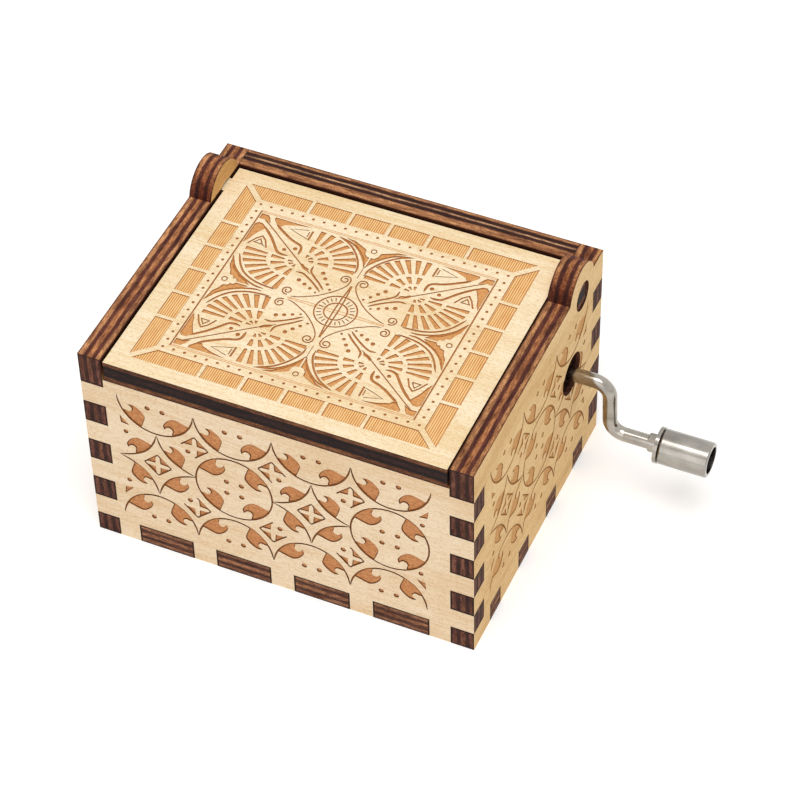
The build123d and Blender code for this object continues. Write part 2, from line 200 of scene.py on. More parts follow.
def stroke(
    points: Sequence[Point], width: float, taper: float = 0.0, burn: Slot = Slot.LINE
) -> Shape:
    """A burnt line along a path.

    Args:
        points: The path's points.
        width: Its width in mm.
        taper: Length in mm over which each end narrows to a third.
        burn: A full or a faint line.

    Returns:
        The line as a shape.
    """
    path = [Vector(p) for p in points]
    run = [0.0]
    for a, b in zip(path, path[1:]):
        run.append(run[-1] + (b - a).length)
    left, right = [], []
    for i, p in enumerate(path):
        before = (p - path[i - 1]).normalized() if i else (path[1] - p).normalized()
        after = (path[i + 1] - p).normalized() if i + 1 < len(path) else before
        along = (before + after).normalized()
        across = Vector((-along.y, along.x)) / max(MITRE_LIMIT, along.dot(before))
        near_end = min(run[i], run[-1] - run[i])
        share = min(1.0, END_WIDTH + WIDTH_GAIN * near_end / taper) if taper else 1.0
        left.append(p + across * (width / 2 * share))
        right.append(p - across * (width / 2 * share))
    outline = left + right[::-1]
    depth = LINE_DEPTH if burn is Slot.LINE else FAINT_DEPTH
    return Shape(tuple((p.x, p.y) for p in outline), burn, depth)


def ring(centre: Point, radius: float, width: float) -> list[Shape]:
    """A burnt circle.

    Args:
        centre: Its middle.
        radius: Its radius in mm.
        width: The line's width.

    Returns:
        Two lines that overlap a little, one a hair narrower, so that their edges never coincide.
    """
    overlap, narrower, steps = 4, 0.03, 18
    return [
        stroke(arc(centre, radius, 0, 180 + overlap, steps), width),
        stroke(arc(centre, radius, 180, 360 + overlap, steps), width - narrower),
    ]


def dot(centre: Point, radius: float) -> Shape:
    """A small burnt disc with twelve corners; a large one has a paler middle."""
    outline = tuple(arc(centre, radius, 0, 330, 11))
    if radius < LARGE_DOT:
        return Shape(outline, Slot.LINE, LINE_DEPTH)
    return Shape(outline, Slot.FILL, FILL_DEPTH)


def fill(points: Sequence[Point], burn: Slot = Slot.FILL) -> Shape:
    """An area burnt between its outlines."""
    return Shape(tuple(points), burn, HATCH_DEPTH if burn is Slot.HATCH else FILL_DEPTH)


def turned(points: Sequence[Point], centre: Point, quarter: int, scale: float) -> list[Point]:
    """Points about the origin, scaled, turned and moved.

    Args:
        points: The points.
        centre: Where the origin goes.
        quarter: Number of quarter turns, from +u towards +v.
        scale: Factor on every distance from the origin.

    Returns:
        The new points.
    """
    c, s = ((1, 0), (0, 1), (-1, 0), (0, -1))[quarter % 4]
    return [
        (centre[0] + scale * (c * x - s * y), centre[1] + scale * (s * x + c * y))
        for x, y in points
    ]


def layers(shapes: Sequence[Shape]) -> list[list[Shape]]:
    """Sorts shapes into layers, so that each layer is cut at once.

    Args:
        shapes: The shapes.

    Returns:
        Layers in which no two shapes' boxes meet, the shallow ones first.
    """
    sheets: list[list[Shape]] = []
    boxes: list[list[tuple[float, float, float, float]]] = []
    for shape in sorted(shapes, key=lambda s: s.depth):
        u0, u1, v0, v1 = shape.box()
        for sheet, taken in zip(sheets, boxes):
            if all(u1 < a or b < u0 or v1 < c or d < v0 for a, b, c, d in taken):
                sheet.append(shape)
                taken.append((u0, u1, v0, v1))
                break
        else:
            sheets.append([shape])
            boxes.append([(u0, u1, v0, v1)])
    return sheets


@dataclass(frozen=True)
class LeafLattice:
    """The walls' ornament: a net of circles with curled leaves, starred diamonds and dots.

    columns and rows place the circles in mm on the face; full says which of the middle row's are
    whole circles, and the others are stars. lean and drop set the net askew, as the laser left it.
    """

    columns: tuple[float, ...]
    full: tuple[bool, ...]
    rows: tuple[float, float, float]
    pitch: float
    lean: float = 0.0
    drop: float = 0.0
    radius: float = 6.2
    line: float = 0.3
    leaf_curl: Outline = (
        (-4.75, -1.55), (-4.0, -1.35), (-3.2, -1.65), (-2.35, -2.35),
        (-1.85, -3.2), (-1.92, -4.0), (-2.2, -4.9), (-2.52, -5.94),
    )
    leaf_notch: Outline = (
        (-5.75, -2.93), (-5.3, -2.85), (-4.65, -3.0), (-4.2, -2.8), (-4.02, -2.3), (-4.25, -1.9),
    )
    leaf_radius: float = 6.45
    leaf_arc: Point = (246, 208)
    diamond_reach: float = 2.15
    diamond_line: float = 0.26
    full_gain: float = 0.2
    star_loss: float = 0.15
    star_lift: float = 0.5
    row_lift: float = 0.6
    dot_radius: float = 0.45
    dot_reach: float = 1.25
    taper: float = 1.2

    def cusp(self, reach: float) -> float:
        """Where a line's middle ends, so that it overlaps its neighbour's by a little."""
        return reach - self.line / 6

    def leaf(self, centre: Point, radius: float, quarter: int) -> Shape:
        """One leaf that grows on a circle.

        Args:
            centre: The circle's middle.
            radius: The circle's radius in mm.
            quarter: Number of quarter turns from the lower left leaf.

        Returns:
            The leaf.
        """
        curl = smooth(self.leaf_curl, 3)
        along = arc((0, 0), self.leaf_radius, *self.leaf_arc, 5)
        notch = smooth(self.leaf_notch, 3)
        points = curl + along + notch
        return fill(turned(points, centre, quarter, radius / self.leaf_radius))

    def diamond(self, centre: Point, missing: Point | None) -> list[Shape]:
        """A diamond with a bare four-pointed star.

        Args:
            centre: Its middle.
            missing: Signs of a corner that is a dot instead, or None.

        Returns:
            Four burnt corners, each with its outer line.
        """
        x, y = centre
        reach, star, edge, spot = self.diamond_reach, 0.42, 0.3, (1.15, 1.25)
        outer = reach + 0.12
        shapes = []
        for sx, sy in ((1, 1), (-1, 1), (-1, -1), (1, -1)):
            if missing == (sx, sy):
                shapes.append(dot((x + spot[0] * sx, y + spot[1] * sy), self.dot_radius))
                continue
            corner = [(edge, reach), (reach, edge), (star, star)]
            shapes.append(fill([(x + sx * a, y + sy * b) for a, b in corner]))
            shapes.append(stroke([(x, y + sy * outer), (x + sx * outer, y)], self.diamond_line))
        return shapes

    def half_circle(self, centre: Point, lower: bool) -> list[Shape]:
        """A half circle with two leaves and two dots.

        Args:
            centre: The circle's middle.
            lower: Whether it is the lower half, open above.

        Returns:
            Its shapes.
        """
        limits = (180, 360) if lower else (0, 180)
        reach = self.cusp(self.pitch / 2)
        line = flared_arc(centre, self.radius, limits, (reach, reach), 24)
        shapes = [stroke(line, self.line, self.taper)]
        for quarter in (0, 1) if lower else (2, 3):
            shapes.append(self.leaf(centre, self.radius, quarter))
        v = centre[1] + (-1.0 if lower else 1.0)
        shapes += [dot((centre[0] + s * self.dot_reach, v), self.dot_radius) for s in (-1, 1)]
        return shapes

    def full_circle(self, centre: Point) -> list[Shape]:
        """A whole circle with four leaves and four dots."""
        radius = self.radius + self.full_gain
        shapes = ring(centre, radius, self.line)
        shapes += [self.leaf(centre, radius, quarter) for quarter in range(4)]
        ways = (-self.dot_reach, self.dot_reach)
        spots = [(a, b) for a in ways for b in ways]
        return shapes + [dot((centre[0] + a, centre[1] + b), self.dot_radius) for a, b in spots]

    def star(self, centre: Point) -> list[Shape]:
        """Four inward arcs, each with a leaf on its outer side, round a diamond.

        Args:
            centre: The diamond's middle.

        Returns:
            Its shapes.
        """
        radius = self.radius - self.star_loss
        shapes = self.diamond(centre, None)
        for quarter, (sx, sy) in enumerate(((1, 1), (-1, 1), (-1, -1), (1, -1))):
            lifted = radius + self.star_lift
            middle = (centre[0] + sx * self.pitch / 2, centre[1] + sy * lifted)
            start = 180 + 90 * quarter
            # One end lies on the star's upright axis, the other on its level one.
            upright, level = self.cusp(self.pitch / 2), self.cusp(lifted)
            reaches = (upright, level) if quarter % 2 == 0 else (level, upright)
            line = flared_arc(middle, radius, (start, start + 90), reaches, 14)
            shapes.append(stroke(line, self.line, self.taper))
            shapes.append(self.leaf(middle, radius, quarter))
        return shapes

    def end_marks(self) -> list[Shape]:
        """A small triangle and a dot at each end of the diamonds' two rows."""
        middle, rise = self.rows[1], self.radius + self.row_lift
        corner = [(0.35, 2.1), (1.9, 0.3), (0.5, 0.5)]
        made = []
        for end, x in ((-1, self.columns[0]), (1, self.columns[-1])):
            place = x + end * self.pitch / 2
            for side in (-1, 1):
                y = middle + side * rise
                made.append(fill([(place - end * a, y + side * b) for a, b in corner]))
                made.append(dot((place - end * self.dot_reach, y - side * 1.3), 0.42))
        return made

    def shapes(self) -> list[Shape]:
        """Every shape of the ornament."""
        low, middle, high = self.rows
        made: list[Shape] = []
        for x, is_full in zip(self.columns, self.full):
            made += self.half_circle((x, high), True) + self.half_circle((x, low), False)
            made += self.full_circle((x, middle)) if is_full else self.star((x, middle))
        rise = self.radius + self.row_lift
        for i in range(len(self.columns) - 1):
            x = (self.columns[i] + self.columns[i + 1]) / 2
            towards = 1 if self.full[i] else -1
            made += self.diamond((x, middle + rise - self.drop), (towards, -1))
            made += self.diamond((x, middle - rise - self.drop), (towards, 1))
        return [self.leant(shape, middle) for shape in made + self.end_marks()]

    def leant(self, shape: Shape, level: float) -> Shape:
        """The shape shifted sideways with its height, as the engraving sits a little askew."""
        points = tuple((u + self.lean * (v - level), v) for u, v in shape.outline)
        return Shape(points, shape.burn, shape.depth)


@dataclass(frozen=True)
class Petals:
    """A row of a fan: how many petals, from which radius to which, and their share of the step."""

    count: int
    low: float
    high: float
    share: float


@dataclass(frozen=True)
class LidOrnament:
    """The lid's ornament: a hatched border, dots and four mirrored quarters round a wheel.

    The quarter's points are in mm outwards from the wheel's middle; thick, line and fine are the
    widths of its lines.
    """

    border_centre: Point = (-0.2, -2.07)
    centre: Point = (-0.35, -2.35)
    thick: float = 0.44
    line: float = 0.33
    fine: float = 0.2
    border_outer: Point = (24.8, 20.7)
    border_inner: Point = (21.8, 17.9)
    across_cells: tuple[float, ...] = (0.3, 6.25, 6.85, 13.0, 13.55)
    along_cells: tuple[float, ...] = (0.3, 5.3, 5.9, 11.0, 11.6)
    mitre_gap: float = 0.65
    dot_rows: Point = (20.85, 16.93)

    def cells(self) -> list[Outline]:
        """The border cells of the first quarter."""
        (ou, ov), (iu, iv), gap = self.border_outer, self.border_inner, self.mitre_gap
        a, b = self.across_cells, self.along_cells
        return [
            ((a[0], iv), (a[1], iv), (a[1], ov), (a[0], ov)),
            ((a[2], iv), (a[3], iv), (a[3], ov), (a[2], ov)),
            ((a[4], iv), (iu - gap, iv), (ou - gap, ov), (a[4], ov)),
            ((iu, b[0]), (ou, b[0]), (ou, b[1]), (iu, b[1])),
            ((iu, b[2]), (ou, b[2]), (ou, b[3]), (iu, b[3])),
            ((iu, b[4]), (ou, b[4]), (ou, ov - gap), (iu, iv - gap)),
        ]

    def fan(
        self, apex: Point, start: float, end: float, squeeze: float, rows: Sequence[Petals]
    ) -> list[Shape]:
        """Rows of wedge petals, as burnt in a circle and squeezed across.

        Args:
            apex: Point that the petals aim at.
            start: Angle of the first petal's edge in degrees.
            end: Angle of the last petal's edge.
            squeeze: Share of its height that the circle keeps.
            rows: The rows, from the outer one in.

        Returns:
            The petals.
        """
        made = []
        for row in rows:
            step = (end - start) / (row.count - 1 + row.share)
            half = abs(step) * row.share / 2
            for i in range(row.count):
                middle = start + step * (i + row.share / 2)
                inner_edge = arc(apex, row.low, middle - half * 0.85, middle + half * 0.85, 2)
                outer_edge = arc(apex, row.high, middle + half, middle - half, 3)
                points = [(u, apex[1] + (v - apex[1]) * squeeze) for u, v in inner_edge + outer_edge]
                made.append(fill(points))
        return made

    def volute(self, centre: Point, radius: float, start: float, turn: float) -> Shape:
        """A small spiral that winds inwards.

        Args:
            centre: Its middle.
            radius: Its outer radius in mm.
            start: Angle of its outer end in degrees.
            turn: Degrees that it winds on.

        Returns:
            The spiral as a line.
        """
        steps, width, shrink = 16, 0.23, 0.72
        points = []
        for i in range(steps + 1):
            t = i / steps
            angle = math.radians(start + turn * t)
            r = radius * (1 - shrink * t)
            points.append((centre[0] + r * math.cos(angle), centre[1] + r * math.sin(angle)))
        return stroke(points, width)

    def fans(self) -> list[Shape]:
        """The quarter's two fans of petals: a low one below the diagonal and a high one above."""
        low = (Petals(8, 5.1, 8.8, 0.52), Petals(4, 2.2, 4.4, 0.44), Petals(3, 0.8, 1.6, 0.55))
        high = (Petals(8, 4.8, 8.3, 0.52), Petals(4, 2.3, 4.0, 0.46), Petals(3, 0.8, 1.6, 0.55))
        made = self.fan((9.8, 7.55), 3, -87, 0.755, low)
        return made + self.fan((9.2, 8.25), 89, 180, 0.84, high)

    def curves(self) -> list[Shape]:
        """The quarter's curved lines: points, width and length of the tapered ends."""
        thick, line, fine = self.thick, self.line, self.fine
        low_rim = ((18.9, 5.9), (17.7, 3.75), (16.2, 2.2), (13.8, 1.15), (10.6, 0.8))
        low_outer_rim = ((19.6, 5.2), (18.4, 3.1), (16.4, 1.45), (13.8, 0.4), (12.2, 0.3))
        high_rim = ((0.75, 8.6), (0.95, 10.2), (2.1, 12.3), (4.0, 14.2), (6.3, 15.3))
        high_outer_rim = ((0.12, 10.4), (0.55, 11.5), (1.9, 13.2), (3.6, 14.5), (5.9, 15.2))
        low_wing = ((11.9, 8.3), (12.8, 8.2), (13.7, 8.45), (14.3, 9.1), (16.0, 11.1), (18.0, 12.9))
        high_wing = (
            (10.5, 9.1), (10.6, 10.4), (11.1, 11.1), (12.5, 11.6), (14.0, 12.4), (16.3, 13.9),
        )
        diagonal = ((7.0, 5.9), (9.5, 7.6), (13.0, 10.2), (17.0, 13.2), (18.6, 14.3))
        high_stalk = ((7.2, 7.7), (7.1, 6.6), (6.4, 5.8), (5.0, 4.7), (3.7, 3.5))
        low_stalk = ((9.2, 5.6), (8.0, 5.6), (6.5, 4.8), (5.2, 3.9), (4.0, 2.9))
        wheel_curve = (
            (0.6, 7.1), (0.72, 5.8), (1.5, 4.5), (2.5, 3.4), (4.0, 2.1), (5.4, 1.3), (6.6, 0.7),
            (7.8, 0.4),
        )
        traces = (
            (low_rim, line, 1.0), (low_outer_rim, line, 1.0),
            (high_rim, line, 1.0), (high_outer_rim, line, 1.0),
            (low_wing, thick, 0.8), (high_wing, thick, 0.6),
            (diagonal, fine, 0.6),
            (high_stalk, line, 0.6), (low_stalk, line, 0.6),
            (wheel_curve, fine, 0.6),
        )
        return [stroke(smooth(points), width, taper) for points, width, taper in traces]

    def straights(self) -> list[Shape]:
        """The quarter's straight and angled lines: points and width."""
        needle = ((0.34, 0.0), (0.27, 2.8), (0.05, 5.9))
        corner_hook = ((15.7, 8.6), (16.5, 10.1), (17.3, 10.8), (18.0, 10.0), (18.8, 8.5))
        corner_triangle = ((16.6, 9.1), (17.3, 10.1), (18.0, 9.1), (16.6, 9.1))
        edge_bar = ((10.45, 12.6), (10.5, 14.7))
        edge_bar_thin = ((10.92, 13.2), (10.95, 14.4))
        edge_triangle = ((10.7, 12.8), (12.3, 13.3), (14.0, 13.9), (11.2, 14.7))
        traces = (
            (needle, 0.24), (corner_hook, 0.26), (corner_triangle, 0.2),
            (edge_bar, 0.32), (edge_bar_thin, 0.18), (edge_triangle, 0.14),
        )
        return [stroke(points, width) for points, width in traces]

    def areas(self) -> list[Shape]:
        """The quarter's burnt grounds along the frame and between the fans."""
        low_ground = (
            (19.6, 5.1), (18.5, 3.0), (16.9, 1.55), (15.2, 0.7), (14.5, 0.12), (16.6, 0.12),
            (16.9, 0.6), (17.4, 0.55), (17.6, 1.05), (18.3, 1.2), (18.6, 2.1), (19.2, 3.0),
        )
        high_ground = (
            (0.12, 10.8), (1.0, 12.4), (2.2, 13.7), (3.6, 14.8), (5.2, 15.45), (3.6, 15.3),
            (1.5, 14.3), (1.2, 14.1), (1.1, 13.3), (0.7, 12.8), (0.12, 12.7),
        )
        corner_low = (
            (19.6, 8.4), (19.65, 13.0), (19.2, 13.45), (18.5, 13.4), (18.0, 13.0), (17.7, 12.5),
            (18.2, 11.6), (18.7, 10.6), (19.1, 9.3),
        )
        corner_high = (
            (17.2, 15.4), (17.2, 14.9), (16.4, 14.0), (15.6, 13.75), (15.2, 14.3), (13.4, 14.95),
            (11.0, 15.4),
        )
        corner_tip = (
            (19.6, 14.25), (18.5, 14.3), (17.4, 13.75), (17.9, 14.8), (18.4, 15.4), (19.6, 15.45),
        )
        heart = ((7.4, 6.2), (7.7, 6.9), (8.4, 7.1), (9.0, 7.6), (9.2, 7.2), (8.7, 6.7), (8.1, 6.4))
        grounds = (low_ground, high_ground, corner_low, corner_high, corner_tip, heart)
        return [fill(points) for points in grounds]

    def spots(self) -> list[Shape]:
        """The quarter's rows of dots, as u, v and radius."""
        spots = (
            (5.2, 6.85, 0.36), (4.4, 5.85, 0.33), (3.6, 4.85, 0.29), (2.8, 3.95, 0.22),
            (8.0, 4.1, 0.36), (6.85, 3.6, 0.33), (5.7, 3.05, 0.29), (4.6, 2.55, 0.2),
            (11.45, 10.1, 0.36), (12.95, 9.3, 0.33),
        )
        return [dot((u, v), radius) for u, v, radius in spots]

    def quarter(self) -> list[Shape]:
        """The first quarter, with u and v measured outwards from the middle."""
        made = self.fans() + self.curves() + self.straights()
        made.append(self.hair([(0.0, 0.3), (4.0, 0.24), (8.0, 0.08)]))
        made += self.areas() + self.spots()
        made.append(self.volute((1.5, 6.85), 0.95, 200, -520))
        made.append(self.volute((8.65, 1.4), 0.9, 250, 520))
        return made

    def hair(self, points: Sequence[Point]) -> Shape:
        """A faint hair line."""
        return stroke(points, 0.14, 0, Slot.FAINT)

    def middle(self) -> list[Shape]:
        """The shapes that aren't mirrored, about the middle: wheel, spokes, small rings, frame."""
        made: list[Shape] = []
        for radius in (3.3, 1.8):
            made += ring((0, 0), radius, 0.26)
        spokes = 24
        for i in range(spokes):
            a = 2 * math.pi * (i + 0.5) / spokes
            ends = [(r * math.cos(a), r * math.sin(a)) for r in (2.15, 2.95)]
            made.append(stroke(ends, 0.17))
        for side in (-1, 1):
            made.append(stroke([(0, side * 7.8), (0, side * 10.7)], 0.34, 0.5))
            made += ring((0, side * 14.2), 0.42, 0.2)
            made += ring((side * 18.6, 0), 0.42, 0.2)
        frame_u, frame_v = 19.85, 16.0
        for side in (-1, 1):
            made.append(stroke([(side * frame_u, -frame_v), (side * frame_u, frame_v)], 0.26))
            for v in (frame_v, 15.7):
                made.append(self.hair([(-19.7, side * v), (19.7, side * v)]))
        return made

    def dots(self) -> list[Shape]:
        """The row of dots inside the border."""
        row_u, row_v = self.dot_rows
        across, along, radius = 24, 20, 0.24
        made = []
        for side in (-1, 1):
            for i in range(across):
                made.append(dot((-row_u + 2 * row_u * i / (across - 1), side * row_v), radius))
            for i in range(1, along):
                made.append(dot((side * row_u, -row_v + 2 * row_v * i / along), radius))
        return made

    def placed(
        self, shapes: Sequence[Shape], centre: Point, su: int = 1, sv: int = 1
    ) -> list[Shape]:
        """Shapes mirrored and moved.

        Args:
            shapes: The shapes about the origin.
            centre: Where the origin goes.
            su: 1, or -1 to mirror in u.
            sv: 1, or -1 to mirror in v.

        Returns:
            The new shapes.
        """
        u, v = centre
        return [
            Shape(tuple((u + su * a, v + sv * b) for a, b in shape.outline), shape.burn, shape.depth)
            for shape in shapes
        ]

    def shapes(self) -> list[Shape]:
        """The whole ornament, in mm on the lid's face."""
        cells = [fill(cell, Slot.HATCH) for cell in self.cells()]
        made = self.placed(self.middle(), self.centre) + self.placed(self.dots(), self.border_centre)
        for su in (-1, 1):
            for sv in (-1, 1):
                made += self.placed(self.quarter(), self.centre, su, sv)
                made += self.placed(cells, self.border_centre, su, sv)
        return made


# ---------------------------------------------------------------- materials
def linear(colour: str) -> tuple[float, float, float, float]:
    """An sRGB hex colour as linear RGBA."""
    parts = [int(colour[i : i + 2], 16) / 255 for i in (1, 3, 5)]
    rgb = [c / 12.92 if c <= 0.04045 else ((c + 0.055) / 1.055) ** 2.4 for c in parts]
    return (rgb[0], rgb[1], rgb[2], 1.0)


def add_node(
    tree: bpy.types.NodeTree,
    kind: str,
    inputs: dict[str | int, Any] | None = None,
    ramp: Sequence[tuple[float, str]] = (),
    **settings: Any,
) -> bpy.types.Node:
    """Adds a shader node.

    Args:
        tree: The node tree.
        kind: The node's type name.
        inputs: Values, colours or sockets by input name or number.
        ramp: Stops of a colour ramp, as place and hex colour.
        settings: The node's own properties.

    Returns:
        The node.
    """
    node = tree.nodes.new(kind)
    for name, value in settings.items():
        setattr(node, name, value)
    for i, (place, colour) in enumerate(ramp):
        stops = node.color_ramp.elements
        stop = stops[i] if i < 2 else stops.new(place)
        stop.position, stop.color = place, linear(colour)
    for key, value in (inputs or {}).items():
        socket = node.inputs[key]
        if isinstance(value, bpy.types.NodeSocket):
            tree.links.new(value, socket)
        elif isinstance(value, str):
            socket.default_value = linear(value)
        else:
            socket.default_value = value
    return node


class Axis(Enum):
    """An axis of the frame."""

    X = 0
    Y = 1
    Z = 2


# Places and colours of a ramp; CLEAR's two ends leave a colour as it is.
Stops = tuple[tuple[float, str], ...]
CLEAR: Stops = ((0.0, "#FFFFFF"), (1.0, "#FFFFFF"))
# Painted shade of the lid's gap below a wall's top edge, and painted shade at the foot of each ear.
GAP_SHADE: Stops = (*CLEAR, (0.34, "#8A6452"), (0.75, "#4A2E28"), (0.99, "#4A2E28"))
EAR_SHADE: Stops = (*CLEAR, (0.02, "#8A6258"), (0.45, "#9A7468"), (0.85, "#E0D0C8"))
GAP_SHADE_MM = 4.4
EAR_SHADE_MM = 4


@dataclass(frozen=True)
class Finish:
    """What every finish has: a name, a principled shader and patterns of a real size."""

    name: str

    def start(self) -> tuple[bpy.types.Material, bpy.types.NodeTree, bpy.types.Node]:
        """A new material, its tree and its principled shader."""
        material = bpy.data.materials.new(self.name)
        material.use_nodes = True
        tree = material.node_tree
        shader = next(n for n in tree.nodes if n.type == "BSDF_PRINCIPLED")
        return material, tree, shader

    def marks(
        self, tree: bpy.types.NodeTree, along: Axis, long_mm: float, short_mm: float, detail: float
    ) -> bpy.types.NodeSocket:
        """Irregular marks of a real size.

        Args:
            tree: The node tree.
            along: Axis along which a mark is long.
            long_mm: Its length along that axis.
            short_mm: Its size across it.
            detail: Octaves of finer marks in it.

        Returns:
            Their strength, from 0 to 1.
        """
        place = add_node(tree, "ShaderNodeTexCoord").outputs["Object"]
        # Cells per metre on each axis.
        cells = tuple(1000 / (long_mm if axis is along else short_mm) for axis in Axis)
        scaled = add_node(tree, "ShaderNodeMapping", {"Vector": place, "Scale": cells})
        noise = add_node(
            tree, "ShaderNodeTexNoise",
            {"Vector": scaled.outputs["Vector"], "Scale": 1.0, "Detail": detail},
        )
        return noise.outputs["Fac"]

    def span(
        self, tree: bpy.types.NodeTree, axis: Axis, low_mm: float, high_mm: float
    ) -> bpy.types.NodeSocket:
        """How far a point lies from one level on an axis to another.

        Args:
            tree: The node tree.
            axis: The axis.
            low_mm: Level that gives 0.
            high_mm: Level that gives 1.

        Returns:
            The share.
        """
        place = add_node(tree, "ShaderNodeTexCoord").outputs["Object"]
        parts = add_node(tree, "ShaderNodeSeparateXYZ", {0: place})
        share = add_node(
            tree, "ShaderNodeMapRange",
            {"Value": parts.outputs[axis.value], "From Min": low_mm * MM, "From Max": high_mm * MM},
        )
        return share.outputs[0]

    def shaded(
        self,
        tree: bpy.types.NodeTree,
        colour: bpy.types.NodeSocket,
        by: bpy.types.NodeSocket,
        stops: Stops,
        share: float = 1.0,
    ) -> bpy.types.NodeSocket:
        """A colour darkened where a pattern says so.

        Args:
            tree: The node tree.
            colour: The colour.
            by: The pattern, from 0 to 1.
            stops: The shade at places of the pattern; white leaves the colour as it is.
            share: How much of the shade is laid on.

        Returns:
            The darkened colour.
        """
        shade = add_node(tree, "ShaderNodeValToRGB", {"Fac": by}, ramp=stops)
        mixed = add_node(
            tree, "ShaderNodeMix", {0: share, 6: colour, 7: shade.outputs["Color"]},
            data_type="RGBA", blend_type="MULTIPLY",
        )
        return mixed.outputs[2]

    def surface(
        self,
        tree: bpy.types.NodeTree,
        shader: bpy.types.Node,
        colour: bpy.types.NodeSocket,
        height: bpy.types.NodeSocket,
        depth_mm: float,
    ) -> None:
        """Gives the shader its colour and its relief.

        Args:
            tree: The node tree.
            shader: The principled shader.
            colour: The colour.
            height: The relief's pattern.
            depth_mm: The relief's depth.
        """
        tree.links.new(colour, shader.inputs["Base Color"])
        relief = add_node(
            tree, "ShaderNodeBump", {"Height": height, "Distance": depth_mm * MM, "Strength": 1.0}
        )
        tree.links.new(relief.outputs["Normal"], shader.inputs["Normal"])


@dataclass(frozen=True)
class BirchVeneer(Finish):
    """Sanded bare birch: pale and matt, with faint grain streaks, short pores and fine flecks."""

    grain: Axis
    pale: str
    tan: str
    painted_shade_mm: float = 0.0

    def make(self) -> bpy.types.Material:
        """Builds the material."""
        material, tree, shader = self.start()
        # Streaks of grain 14 mm long, in clouds of 24 x 8 mm.
        streaks = self.marks(tree, self.grain, 14, 0.6, 6.0)
        clouds = self.marks(tree, self.grain, 24, 8, 3.0)
        blend = add_node(
            tree, "ShaderNodeMix", {0: 0.6, "A": streaks, "B": clouds}, data_type="FLOAT"
        )
        colour = add_node(
            tree, "ShaderNodeValToRGB", {"Fac": blend.outputs[0]},
            ramp=((0.36, self.tan), (0.56, self.pale)),
        ).outputs["Color"]
        # Pores, 1.6 mm long, and flecks a third of a millimetre across.
        pores, flecks = (1.6, 0.16, 0.5, "#E9D6BA"), (0.5, 0.3, 0.6, "#EBDAC4")
        for long_mm, short_mm, share, shade in (pores, flecks):
            marks = self.marks(tree, self.grain, long_mm, short_mm, 2.0)
            colour = self.shaded(tree, colour, marks, ((0.34, shade), (0.5, "#FFFFFF")), share)
        # Painted shade of the lid's gap on an inner face, darkest just below the wall's top edge.
        if self.painted_shade_mm:
            level = self.span(tree, Axis.Z, self.painted_shade_mm - GAP_SHADE_MM, self.painted_shade_mm)
            colour = self.shaded(tree, colour, level, GAP_SHADE)
        # Bare sanded wood: rough, with a weak gloss.
        shader.inputs["Roughness"].default_value = 0.62
        shader.inputs["IOR"].default_value = 1.45
        shader.inputs["Specular IOR Level"].default_value = 0.3
        self.surface(tree, shader, colour, streaks, 0.06)
        return material


@dataclass(frozen=True)
class Plies:
    """Colours of a cut edge, and where each of its five plies ends as a share of the thickness."""

    face: str = "#DCA26C"
    core: str = "#CE8C58"
    cross: str = "#6E3C30"
    lip: str = "#8A5A3C"
    ends: tuple[float, float, float, float] = (0.235, 0.42, 0.62, 0.8)

    def stops(self) -> Stops:
        """The plies' colours across the thickness, with scorched lips at both faces."""
        soft = 0.03
        stops = [(0.0, self.lip), (1.0, self.lip), (0.03, self.lip), (0.07, self.face)]
        order = (self.face, self.cross, self.core, self.cross, self.face)
        for end, before, after in zip(self.ends, order, order[1:]):
            stops += [(end - soft, before), (end + soft, after)]
        return (*stops, (0.94, self.face), (0.975, self.lip))


@dataclass(frozen=True)
class PlyEdge(Finish):
    """Laser-cut birch plywood edge: plies browned along the cut, with dashes and grains of soot."""

    through: Axis
    start_mm: float
    along: Axis
    plies: Plies = Plies()
    shade_foot_mm: float = 0.0

    def bands(self, tree: bpy.types.NodeTree) -> bpy.types.NodeSocket:
        """The plies' colours across the thickness, a little wavy.

        Args:
            tree: The node tree.

        Returns:
            The colour.
        """
        waviness = 0.09
        ripple = self.marks(tree, self.along, 7, 2, 6.0)
        across = self.span(tree, self.through, self.start_mm, self.start_mm + PLY)
        sway = add_node(tree, "ShaderNodeMath", {0: ripple, 1: 0.5}, operation="SUBTRACT")
        swayed = add_node(
            tree, "ShaderNodeMath", {0: sway.outputs[0], 1: waviness, 2: across},
            operation="MULTIPLY_ADD",
        )
        return add_node(
            tree, "ShaderNodeValToRGB", {"Fac": swayed.outputs[0]}, ramp=self.plies.stops()
        ).outputs["Color"]

    def make(self) -> bpy.types.Material:
        """Builds the material."""
        material, tree, shader = self.start()
        colour = self.bands(tree)
        # Soot: clouds 5 mm long, dashes 1.2 mm long and grains of a fifth of a millimetre.
        clouds, dashes = (5.0, 1.0, "#8E6C60", 0.7), (1.2, 0.24, "#80584C", 0.7)
        grains = (0.24, 0.2, "#9A766A", 0.6)
        for long_mm, short_mm, dark, share in (clouds, dashes, grains):
            soot = self.marks(tree, self.along, long_mm, short_mm, 4.0)
            colour = self.shaded(tree, colour, soot, ((0.36, dark), (0.6, "#FFFFFF")), share)
        if self.shade_foot_mm:
            # Painted shade, darker towards the foot of the hinge ears.
            level = self.span(tree, Axis.Z, self.shade_foot_mm, self.shade_foot_mm + EAR_SHADE_MM)
            colour = self.shaded(tree, colour, level, EAR_SHADE)
        # Charred wood: dull and dry.
        shader.inputs["Roughness"].default_value = 0.75
        shader.inputs["Specular IOR Level"].default_value = 0.2
        self.surface(tree, shader, colour, soot, 0.08)
        return material


